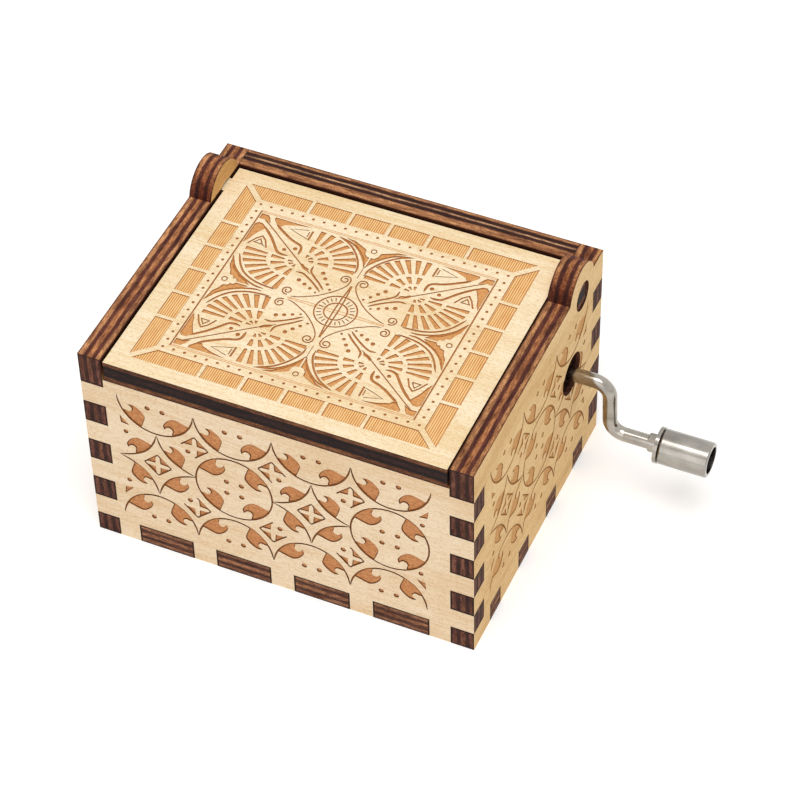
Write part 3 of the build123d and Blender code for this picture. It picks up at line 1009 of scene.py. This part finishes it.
@dataclass(frozen=True)
class Scorch(Finish):
    """Laser-burnt wood: brown and dull, with a mottled floor or the laser's parallel passes."""

    dark: str
    light: str
    grain: Axis
    hatch_mm: float = 0.0

    def passes(self, tree: bpy.types.NodeTree) -> bpy.types.NodeSocket:
        """The laser's parallel passes, hatch_mm apart along X, over short streaks along Y.

        Args:
            tree: The node tree.

        Returns:
            Their tone, from 0 to 1.
        """
        streaks = self.marks(tree, Axis.Y, 2.5, 0.5, 4.0)
        even = add_node(tree, "ShaderNodeMapRange", {"Value": streaks, "To Min": 0.3, "To Max": 0.7})
        place = add_node(tree, "ShaderNodeTexCoord").outputs["Object"]
        parts = add_node(tree, "ShaderNodeSeparateXYZ", {0: place})
        turns = add_node(
            tree, "ShaderNodeMath",
            {0: parts.outputs["X"], 1: 2 * math.pi / (self.hatch_mm * MM)}, operation="MULTIPLY",
        )
        wave = add_node(tree, "ShaderNodeMath", {0: turns.outputs[0]}, operation="SINE")
        return add_node(
            tree, "ShaderNodeMath", {0: wave.outputs[0], 1: 0.2, 2: even.outputs[0]},
            operation="MULTIPLY_ADD",
        ).outputs[0]

    def make(self) -> bpy.types.Material:
        """Builds the material."""
        material, tree, shader = self.start()
        if self.hatch_mm:
            tone = self.passes(tree)
        else:
            tone = self.marks(tree, self.grain, 0.45, 0.24, 4.0)
        colour = add_node(
            tree, "ShaderNodeValToRGB", {"Fac": tone}, ramp=((0.32, self.dark), (0.66, self.light))
        )
        # Charred wood: dull and dry.
        shader.inputs["Roughness"].default_value = 0.85
        shader.inputs["Specular IOR Level"].default_value = 0.2
        self.surface(tree, shader, colour.outputs["Color"], tone, 0.05)
        return material


@dataclass(frozen=True)
class Metal(Finish):
    """A bare or plated metal with fine tool marks; roughness says how polished it is."""

    colour: str
    shade: str
    roughness: float
    axis: Axis
    mark_mm: float = 0.12
    relief_mm: float = 0.004
    lathe: bool = False

    def make(self) -> bpy.types.Material:
        """Builds the material."""
        material, tree, shader = self.start()
        slenderness = 40
        long_mm, short_mm = slenderness * self.mark_mm, self.mark_mm
        if self.lathe:
            # Turned round this axis: the marks are fine along it and long across it.
            long_mm, short_mm = short_mm, long_mm
        lines = self.marks(tree, self.axis, long_mm, short_mm, 3.0)
        stain = self.marks(tree, self.axis, 6, 3, 4.0)
        colour = add_node(
            tree, "ShaderNodeValToRGB", {"Fac": stain},
            ramp=((0.35, self.shade), (0.62, self.colour)),
        )
        rough = add_node(
            tree, "ShaderNodeMapRange",
            {
                "Value": lines, "From Min": 0.3, "From Max": 0.7,
                "To Min": self.roughness * 0.8, "To Max": self.roughness * 1.3,
            },
        )
        tree.links.new(rough.outputs[0], shader.inputs["Roughness"])
        shader.inputs["Metallic"].default_value = 1.0
        self.surface(tree, shader, colour.outputs["Color"], lines, self.relief_mm)
        return material


# ---------------------------------------------------------------- modelling helpers
def deselect() -> None:
    """Leaves edit mode and deselects every object."""
    if bpy.context.object and bpy.context.object.mode != "OBJECT":
        bpy.ops.object.mode_set(mode="OBJECT")
    bpy.ops.object.select_all(action="DESELECT")


def activate(piece: bpy.types.Object) -> None:
    """Selects one object alone and makes it the active one."""
    deselect()
    piece.select_set(True)
    bpy.context.view_layer.objects.active = piece


def merged_copy(node: bpy.types.Object, name: str) -> bpy.types.Object:
    """A new piece with a CAD node's shape.

    Args:
        node: The CAD node, which stays as it is.
        name: The piece's name.

    Returns:
        The piece, its loose triangles merged into one closed mesh of flat faces.
    """
    merge_metres, flat_degrees = 1e-6, 0.5
    mesh = node.data.copy()
    mesh.name = name
    piece = bpy.data.objects.new(name, mesh)
    bpy.context.scene.collection.objects.link(piece)
    activate(piece)
    bpy.ops.mesh.customdata_custom_splitnormals_clear()
    bpy.ops.object.mode_set(mode="EDIT")
    bpy.ops.mesh.select_all(action="SELECT")
    bpy.ops.mesh.remove_doubles(threshold=merge_metres)
    bpy.ops.mesh.select_all(action="SELECT")
    bpy.ops.mesh.dissolve_limited(angle_limit=math.radians(flat_degrees))
    bpy.ops.object.mode_set(mode="OBJECT")
    mesh.materials.clear()
    for polygon in mesh.polygons:
        polygon.use_smooth = False
    return piece


def inset_faces(
    piece: bpy.types.Object, chosen: Sequence[bool], width_mm: float, even: bool, slot: Slot
) -> None:
    """Insets each chosen face on its own and gives the border a slot.

    Args:
        piece: The object.
        chosen: Whether a face is inset, for each face.
        width_mm: The border's width.
        even: Whether corners keep that width, which would fold in narrow shapes.
        slot: The border's slot.
    """
    if not any(chosen):
        return
    mesh = piece.data
    before = len(mesh.polygons)
    activate(piece)
    bpy.context.tool_settings.mesh_select_mode = (False, False, True)
    bpy.ops.object.mode_set(mode="EDIT")
    bpy.ops.mesh.select_all(action="DESELECT")
    bpy.ops.object.mode_set(mode="OBJECT")
    for polygon, is_chosen in zip(mesh.polygons, chosen):
        polygon.select = is_chosen
    bpy.ops.object.mode_set(mode="EDIT")
    bpy.ops.mesh.inset(thickness=width_mm * MM, use_individual=True, use_even_offset=even)
    bpy.ops.object.mode_set(mode="OBJECT")
    for polygon in list(mesh.polygons)[before:]:
        if not polygon.select:
            polygon.material_index = slot.value


def make_cutter(
    shapes: Sequence[Shape],
    plane: Matrix,
    rim_mm: float,
    depth: float,
    materials: Sequence[bpy.types.Material],
) -> bpy.types.Object:
    """Closed prisms that reach from each shape's floor to above the face.

    The laser burns a filled shape's edge darker, so its floor gets a rim; its walls are as dark.

    Args:
        shapes: Outlines whose boxes don't meet.
        plane: The face's frame: u, v and outward normal, with its origin on the face.
        rim_mm: Width of the dark rim inside a filled shape.
        depth: Factor on the depth of every shape.
        materials: The panel's slots, which the cut faces keep.

    Returns:
        The cutter, with the slot of the cut face that each of its faces leaves.
    """
    above_mm, upright = 0.5, 0.5
    points, faces = [], []
    for shape in shapes:
        first = len(points)
        points += [(u * MM, v * MM, -shape.depth * depth * MM) for u, v in shape.outline]
        faces.append(list(range(first, len(points))))
    mesh = bpy.data.meshes.new("cutter")
    mesh.from_pydata(points, [], faces)
    for polygon, shape in zip(mesh.polygons, shapes):
        polygon.material_index = shape.burn.value
    cutter = bpy.data.objects.new("cutter", mesh)
    bpy.context.scene.collection.objects.link(cutter)
    for material in materials:
        mesh.materials.append(material)
    filled = [shape.burn not in (Slot.LINE, Slot.FAINT) for shape in shapes]
    inset_faces(cutter, filled, rim_mm, False, Slot.RIM)
    activate(cutter)
    bpy.ops.object.mode_set(mode="EDIT")
    bpy.ops.mesh.select_all(action="SELECT")
    bpy.ops.mesh.extrude_region_move(TRANSFORM_OT_translate={"value": (0, 0, above_mm * MM)})
    bpy.ops.mesh.select_all(action="SELECT")
    bpy.ops.mesh.normals_make_consistent(inside=False)
    bpy.ops.object.mode_set(mode="OBJECT")
    for polygon in mesh.polygons:
        if abs(polygon.normal.z) < upright and polygon.material_index != Slot.FAINT.value:
            polygon.material_index = Slot.RIM.value
    mesh.transform(plane)
    return cutter


# ---------------------------------------------------------------- case
@dataclass(frozen=True)
class Side:
    """A panel's outer face: its origin in mm and its u, v and outward directions."""

    origin: Triple
    u: Triple
    v: Triple
    out: Triple

    def matrix(self) -> Matrix:
        """From the face's own millimetre drawing, in metres, to the frame."""
        columns = Matrix((self.u, self.v, self.out)).transposed().to_4x4()
        return Matrix.Translation(Vector(self.origin) * MM) @ columns


@dataclass
class Panel:
    """One plywood panel: a CAD node's copy, engraved on its outer face and dressed by face.

    through is the axis across the plies, and start_mm is where they start on it. line, area, rim
    and hatch are the burns' dark and light colours, pale and tan the veneer's, edge and end the
    plies' of the long top edges and of the finger ends. painted_shade_mm is the level where the painted
    shade of the lid's gap on the inner face is darkest, or 0 for a panel without one. depth is a factor
    on the engraving's depth, and ruled_mm the side of the squares that the panel is ruled into.
    """

    node: str
    body: str
    side: Side
    through: Axis
    start_mm: float
    grain: Axis
    ornament: Sequence[Shape] = ()
    line: tuple[str, str] = ("#7A4526", "#9A6038")
    area: tuple[str, str] = ("#B97848", "#D89A68")
    rim: tuple[str, str] = ("#5E3620", "#7E4E30")
    hatch: tuple[str, str] = ("#C6803F", "#F3CB8E")
    rim_mm: float = 0.13
    pale: str = "#F6E4C3"
    tan: str = "#EBD0A2"
    edge: Plies = Plies()
    end: Plies = Plies("#845442", "#8C5C44", "#4C2A20", "#2E1812")
    painted_shade_mm: float = 0.0
    outlined: bool = True
    depth: float = 1.0
    ruled_mm: float = 7.3

    def finishes(self) -> dict[Slot, Finish]:
        """The finish of each slot."""
        name, grain = self.node, self.grain
        through, start = self.through, self.start_mm
        along = Axis.X if through is not Axis.X else Axis.Y
        across = Axis.X if through is Axis.Z else Axis.Z
        return {
            # Sanded birch face: pale, matt, with the grain's streaks.
            Slot.VENEER: BirchVeneer(f"birch_veneer_{name}", grain, self.pale, self.tan),
            # Finger and tab ends: cut slowest, nearly charred.
            Slot.END: PlyEdge(f"charred_ply_end_{name}", through, start, across, self.end),
            # Burnt marks of the engraving, from the deep lines to the light hatching.
            Slot.LINE: Scorch(f"burnt_line_{name}", *self.line, grain),
            Slot.FILL: Scorch(f"burnt_area_{name}", *self.area, grain),
            # The border cells: the laser's parallel passes, with their pitch in mm.
            Slot.HATCH: Scorch(f"burnt_hatch_{name}", *self.hatch, grain, 0.366),
            # Long top edges: browned, with the plies in stripes.
            Slot.EDGE: PlyEdge(f"cut_ply_edge_{name}", through, start, along, self.edge, WALL_TOP),
            # Inner faces: darker, more yellow birch, partly scorch and partly a painted warm bounce of
            # light, with painted shade of the lid's gap below the top edge.
            Slot.INSIDE: BirchVeneer(f"birch_inside_{name}", grain, "#DDB272", "#C08F50", self.painted_shade_mm),
            Slot.RIM: Scorch(f"burnt_rim_{name}", *self.rim, grain),
            # Painted shade of the joints' gaps: a black line round each finger and tab end.
            Slot.OUTLINE: Scorch(f"painted_gap_shade_{name}", "#1E0F0B", "#341D15", grain),
            Slot.FAINT: Scorch(f"faint_line_{name}", "#CF9A60", "#E6BC86", grain),
        }

    def build(self, frame: dict[str, Any]) -> bpy.types.Object:
        """Copies, dresses and engraves the panel.


        Returns:
            The piece, riding on its body.
        """
        piece = merged_copy(frame["nodes"][self.node], f"{self.node}_ply")
        finishes = self.finishes()
        for slot in Slot:
            piece.data.materials.append(finishes[slot].make())
        self.sort_faces(piece)
        self.outline_ends(piece)
        self.engrave(piece)
        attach(piece, self.body)
        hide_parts(self.node)
        log.info("%s: %d faces", piece.name, len(piece.data.polygons))
        return piece

    def sort_faces(self, piece: bpy.types.Object) -> None:
        """Gives each face of the plain panel its slot.

        Args:
            piece: The panel's copy, before it is engraved.
        """
        facing, ear_foot_mm, ear_mm = 0.9, WALL_TOP + EDGE_SLACK, 6
        top = max(v.co.z for v in piece.data.vertices) - ear_mm * MM
        out = Vector(self.side.out)
        for polygon in piece.data.polygons:
            if self.painted_shade_mm and polygon.normal.dot(out) < -facing:
                slot = Slot.INSIDE
            elif abs(polygon.normal[self.through.value]) > facing:
                slot = Slot.VENEER
            elif polygon.center.z > (top if polygon.normal.z > facing else ear_foot_mm * MM):
                slot = Slot.EDGE
            else:
                slot = Slot.END
            polygon.material_index = slot.value

    def is_end(self, polygon: bpy.types.MeshPolygon) -> bool:
        """Whether a face is a finger's or a tab's end, flush with the box's outside."""
        slack_metres = 1e-5
        axis = max(Axis, key=lambda way: abs(polygon.normal[way.value]))
        if axis is Axis.Z or polygon.material_index != Slot.END.value:
            return False
        reach = (HALF_LENGTH if axis is Axis.X else HALF_DEPTH) * MM
        return abs(abs(polygon.center[axis.value]) - reach) < slack_metres

    def outline_ends(self, piece: bpy.types.Object) -> None:
        """Paints a dark outline of shade round each finger and tab end, standing in for the joint's
        gap.

        Args:
            piece: The panel's copy, before it is engraved.
        """
        outline_mm = 0.22
        ends = [self.outlined and self.is_end(polygon) for polygon in piece.data.polygons]
        inset_faces(piece, ends, outline_mm, True, Slot.OUTLINE)

    def rule(self, piece: bpy.types.Object) -> None:
        """Rules the panel into small squares, because one face with a thousand cuts comes out torn.

        Args:
            piece: The panel's copy.
        """
        activate(piece)
        for way in (Vector(self.side.u), Vector(self.side.v)):
            along = [vertex.co.dot(way) for vertex in piece.data.vertices]
            start, reach = min(along), max(along) - min(along)
            count = round(reach / (self.ruled_mm * MM))
            bpy.ops.object.mode_set(mode="EDIT")
            for i in range(1, count):
                bpy.ops.mesh.select_all(action="SELECT")
                bpy.ops.mesh.bisect(plane_co=way * (start + reach * i / count), plane_no=way)
            bpy.ops.object.mode_set(mode="OBJECT")

    def engrave(self, piece: bpy.types.Object) -> None:
        """Cuts the ornament into the outer face, a layer at a time.

        Args:
            piece: The panel's copy.
        """
        if self.ornament:
            self.rule(piece)
        for sheet in layers(self.ornament):
            cutter = make_cutter(
                sheet, self.side.matrix(), self.rim_mm, self.depth, piece.data.materials[:]
            )
            activate(piece)
            cut = piece.modifiers.new("engraving", "BOOLEAN")
            cut.operation, cut.solver, cut.object = "DIFFERENCE", "MANIFOLD", cutter
            bpy.ops.object.modifier_apply(modifier=cut.name)
            bpy.data.objects.remove(cutter)


@dataclass
class Case:
    """The five walls and floor of the box, and its lid."""

    half_length: float = HALF_LENGTH
    half_depth: float = HALF_DEPTH
    # The painted shade of the lid's gap on the walls' inner faces is darkest here, just above their top
    # edge.
    painted_shade_top: float = WALL_TOP + 2 * EDGE_SLACK

    def lattices(self) -> tuple[list[Shape], list[Shape], list[Shape]]:
        """The ornaments of the front, the back and the two side panels."""
        wide = LeafLattice(
            columns=(-20.13, -7.28, 5.57, 18.42), full=(False, True, False, True),
            rows=(5.95, 19.4, 32.6), pitch=12.85, lean=0.034, drop=0.17,
        )
        tall = LeafLattice(
            columns=(-20.25, -7.4, 5.45, 18.3), full=(False, True, False, True),
            rows=(6.6, 20.0, 33.4), pitch=12.85,
        )
        short = LeafLattice(
            columns=(-12.85, 0.12, 13.08), full=(False, True, False),
            rows=(6.65, 20.15, 33.75), pitch=13.0,
        )
        return wide.shapes(), tall.shapes(), short.shapes()

    def walls(self) -> list[Panel]:
        """The four walls."""
        hl, hd = self.half_length, self.half_depth
        x, y, z = (1, 0, 0), (0, 1, 0), (0, 0, 1)
        left, front = (-1, 0, 0), (0, -1, 0)
        wide, tall, short = self.lattices()
        # Front and back are rosy and burnt dark; the sides are yellower and burnt more lightly. Both
        # veneers are painted darker than the lid's, as painted shade of walls that face the light less.
        rosy = {
            "pale": "#EDD7B8", "tan": "#E2C59E", "painted_shade_mm": self.painted_shade_top, "rim_mm": 0.14,
            "line": ("#7C4620", "#98602F"),
            "area": ("#AE6E42", "#D0925E"),
            "rim": ("#683A1C", "#80502A"),
        }
        yellow = {
            "pale": "#ECC990", "tan": "#DAB072", "painted_shade_mm": self.painted_shade_top, "rim_mm": 0.14,
            "line": ("#8E5A2A", "#AC763E"),
            "area": ("#C0884E", "#DAA86E"),
            "rim": ("#865022", "#A06A36"),
            "depth": 0.5,
        }
        back_edge = Plies("#DEA26E", "#F2C292", "#48261C", "#96643F", (0.36, 0.56, 0.635, 0.84))
        left_edge = Plies("#EEB078", "#DE9A64", "#784436", "#966444")
        return [
            Panel(
                "front_panel", "case", Side((0, -hd, 0), x, z, front), Axis.Y, -hd, Axis.X, wide,
                **rosy,
            ),
            Panel(
                "back_panel", "case", Side((0, hd, 0), left, z, y), Axis.Y, hd - PLY, Axis.X, tall,
                edge=back_edge, **rosy,
            ),
            Panel(
                "right_side_panel", "case", Side((hl, 0, 0), y, z, x), Axis.X, hl - PLY, Axis.Y, short,
                **yellow,
            ),
            Panel(
                "left_side_panel", "case", Side((-hl, 0, 0), front, z, left), Axis.X, -hl, Axis.Y,
                short, edge=left_edge, **yellow,
            ),
        ]

    def floor(self) -> Panel:
        """The bottom panel, which shows its tabs' ends only."""
        x, y, z = (1, 0, 0), (0, 1, 0), (0, 0, 1)
        end = Plies("#AE7C5A", "#BA845E", "#6A4636", "#4A2E22")
        return Panel("bottom_panel", "case", Side((0, 0, 0), x, y, z), Axis.Z, 0.0, Axis.X, end=end)

    def lid(self) -> Panel:
        """The lid: the palest panel, with nearly black edges."""
        x, y, z = (1, 0, 0), (0, 1, 0), (0, 0, 1)
        return Panel(
            "lid", "lid", Side((0, 0, LID_TOP), x, y, z), Axis.Z, LID_TOP - PLY, Axis.X,
            LidOrnament().shapes(),
            line=("#AC6A34", "#C4864C"),
            area=("#C4844A", "#DEA468"),
            rim=("#96592A", "#AE7038"),
            end=Plies("#8E5C38", "#38201A", "#241310", "#5A3822"),
            outlined=False,
            depth=0.75,
        )

    def build(self, frame: dict[str, Any]) -> None:
        """Builds every panel."""
        for panel in [*self.walls(), self.floor(), self.lid()]:
            panel.build(frame)


# ---------------------------------------------------------------- metal parts
@dataclass
class Movement:
    """Finishes of the cylinder movement and the crank, whose CAD nodes stay."""

    def finishes(self) -> list[tuple[Finish, tuple[str, ...]]]:
        """Each finish with the nodes that have it."""
        return [
            (
                # Die-cast zinc: grey, dull and slightly grainy from the mould.
                Metal("die_cast_zinc", "#A9ABAD", "#8E9092", 0.45, Axis.Z, 0.3, 0.02),
                ("bedplate",),
            ),
            (
                # Nickel-plated steel sheet: warm grey with faint rolling marks.
                Metal("nickel_plated_sheet", "#C9C6BE", "#B2AEA5", 0.28, Axis.Z),
                ("crank_bracket",),
            ),
            (
                # Ground spring steel: cool grey, grinding marks across the teeth.
                Metal("ground_spring_steel", "#B7BABD", "#9A9DA1", 0.3, Axis.Y, 0.1, 0.006),
                ("comb", "tune_pins"),
            ),
            (
                # Cast lead: dark, soft and dull.
                Metal("cast_lead", "#6F7276", "#54575B", 0.6, Axis.X, 0.3, 0.01),
                ("bass_weights",),
            ),
            (
                # Bright zinc-plated steel: bluish grey with a light polish.
                Metal("zinc_plated_steel", "#C4C7CB", "#A4A8AE", 0.25, Axis.X),
                ("comb_screws", "bracket_screws", "floor_screws", "cylinder_arbor", "shaft_collar"),
            ),
            (
                # Turned brass: yellow, with fine drawn marks along it.
                Metal("turned_brass", "#D9B25F", "#B98F42", 0.24, Axis.Y, 0.12, 0.005),
                ("cylinder_barrel", "cylinder_end_caps", "worm_wheel", "worm"),
            ),
            (
                # Polished nickel plate: bright, a little warm, with fine drawn marks; its colour is
                # darker than nickel's own, a painted dark reflection.
                Metal("polished_nickel_plate", "#B0AAA0", "#8E8880", 0.15, Axis.X, 0.1, 0.003),
                ("crank_wire", "knob_washer"),
            ),
            (
                # Turned and plated steel: grey and bright, with fine rings, drawn coarse to show; its
                # colour is darker than nickel's own, a painted dark reflection.
                Metal("turned_nickel_plate", "#A9A49C", "#8A857D", 0.2, Axis.X, 0.2, 0.006, True),
                ("crank_knob",),
            ),
        ]

    def dress(self, frame: dict[str, Any]) -> None:
        """Gives each metal node its material.
        """
        for finish, nodes in self.finishes():
            material = finish.make()
            for node in nodes:
                slots = frame["nodes"][node].data.materials
                slots.clear()
                slots.append(material)
                log.info("%s: %s", node, material.name)


# ---------------------------------------------------------------- studio
@dataclass(frozen=True)
class Lamp:
    """A soft rectangular lamp that aims at the box."""

    name: str
    place: Triple
    size: float
    power: float


@dataclass
class Studio:
    """White floor and surroundings, soft lamps and the photograph's camera."""

    # Fitted to the case's corners in the photograph; degrees, and mm on a 36 mm sensor.
    camera_place: Triple = (0.145821, -0.296178, 0.360652)
    camera_turn: Triple = (43.84178, 0.98732, 23.78652)
    lens: float = 137.447
    sensor: float = 36.0
    nearest: float = 0.01
    # The surround's light, and the floor's glow that lifts it to white round the shadow.
    world_light: float = 0.6
    floor_glow: float = 0.22
    floor_size: float = 4
    lamps: tuple[Lamp, ...] = (
        Lamp("key_lamp", (0.12, -0.22, 0.8), 0.5, 3.65),
        Lamp("front_lamp", (0.1, -0.8, 0.35), 0.6, 0.9),
    )
    target: Triple = (0.0, 0.0, 0.02)

    def shown_white(
        self, tree: bpy.types.NodeTree, plain: bpy.types.NodeSocket, white: bpy.types.NodeSocket
    ) -> bpy.types.NodeSocket:
        """Mixes in a white shader for what the camera, gloss and glass see.

        Args:
            tree: The node tree.
            plain: The shader that lights the box.
            white: The shader that is seen.

        Returns:
            The mix.
        """
        path = add_node(tree, "ShaderNodeLightPath")
        seen = add_node(
            tree, "ShaderNodeMath",
            {0: path.outputs["Is Camera Ray"], 1: path.outputs["Is Glossy Ray"]}, operation="MAXIMUM",
        )
        seen = add_node(
            tree, "ShaderNodeMath",
            {0: seen.outputs[0], 1: path.outputs["Is Transmission Ray"]}, operation="MAXIMUM",
        )
        mix = add_node(tree, "ShaderNodeMixShader", {0: seen.outputs[0], 1: plain, 2: white})
        return mix.outputs[0]

    def light_world(self) -> None:
        """A white surround that lights the box evenly."""
        world = bpy.data.worlds.new("studio")
        bpy.context.scene.world = world
        world.use_nodes = True
        tree = world.node_tree
        tree.nodes.clear()
        dim = add_node(
            tree, "ShaderNodeBackground", {"Color": "#FFFFFF", "Strength": self.world_light}
        )
        white = add_node(tree, "ShaderNodeBackground", {"Color": "#FFFFFF", "Strength": 1.0})
        out = add_node(tree, "ShaderNodeOutputWorld")
        shown = self.shown_white(tree, dim.outputs[0], white.outputs[0])
        tree.links.new(shown, out.inputs["Surface"])

    def lay_floor(self) -> None:
        """A white floor that keeps the box's shadow."""
        deselect()
        bpy.ops.mesh.primitive_plane_add(size=self.floor_size, location=(0, 0, 0))
        floor = bpy.context.object
        floor.name = "floor"
        material = bpy.data.materials.new("white_paper_floor")
        material.use_nodes = True
        tree = material.node_tree
        tree.nodes.clear()
        matt = add_node(tree, "ShaderNodeBsdfDiffuse", {"Color": "#F4F4F4"})
        glow = add_node(
            tree, "ShaderNodeEmission", {"Color": "#FFFFFF", "Strength": self.floor_glow}
        )
        both = add_node(tree, "ShaderNodeAddShader", {0: matt.outputs[0], 1: glow.outputs[0]})
        out = add_node(tree, "ShaderNodeOutputMaterial")
        shown = self.shown_white(tree, matt.outputs[0], both.outputs[0])
        tree.links.new(shown, out.inputs["Surface"])
        floor.data.materials.append(material)

    def hang_lamps(self) -> None:
        """The soft lamps, each aimed at the box."""
        for lamp in self.lamps:
            light = bpy.data.lights.new(lamp.name, "AREA")
            light.shape, light.size, light.energy = "SQUARE", lamp.size, lamp.power
            holder = bpy.data.objects.new(lamp.name, light)
            holder.location = lamp.place
            aim = Vector(self.target) - Vector(lamp.place)
            holder.rotation_euler = aim.to_track_quat("-Z", "Y").to_euler()
            bpy.context.scene.collection.objects.link(holder)

    def set_camera(self) -> None:
        """The camera at the photograph's viewing angle."""
        data = bpy.data.cameras.new("camera")
        data.lens, data.sensor_width, data.clip_start = self.lens, self.sensor, self.nearest
        camera = bpy.data.objects.new("camera", data)
        camera.location = self.camera_place
        camera.rotation_euler = Euler([math.radians(a) for a in self.camera_turn], "XYZ")
        bpy.context.scene.collection.objects.link(camera)
        bpy.context.scene.camera = camera

    def build(self) -> None:
        """Sets the whole studio up."""
        bpy.context.scene.view_settings.view_transform = "Standard"
        self.light_world()
        self.lay_floor()
        self.hang_lamps()
        self.set_camera()


def main() -> None:
    """Builds the box's looks round the frame."""
    logging.basicConfig(level=logging.INFO, format="%(message)s")
    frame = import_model()
    Studio().build()
    Case().build(frame)
    Movement().dress(frame)


if __name__ == "__main__":
    main()
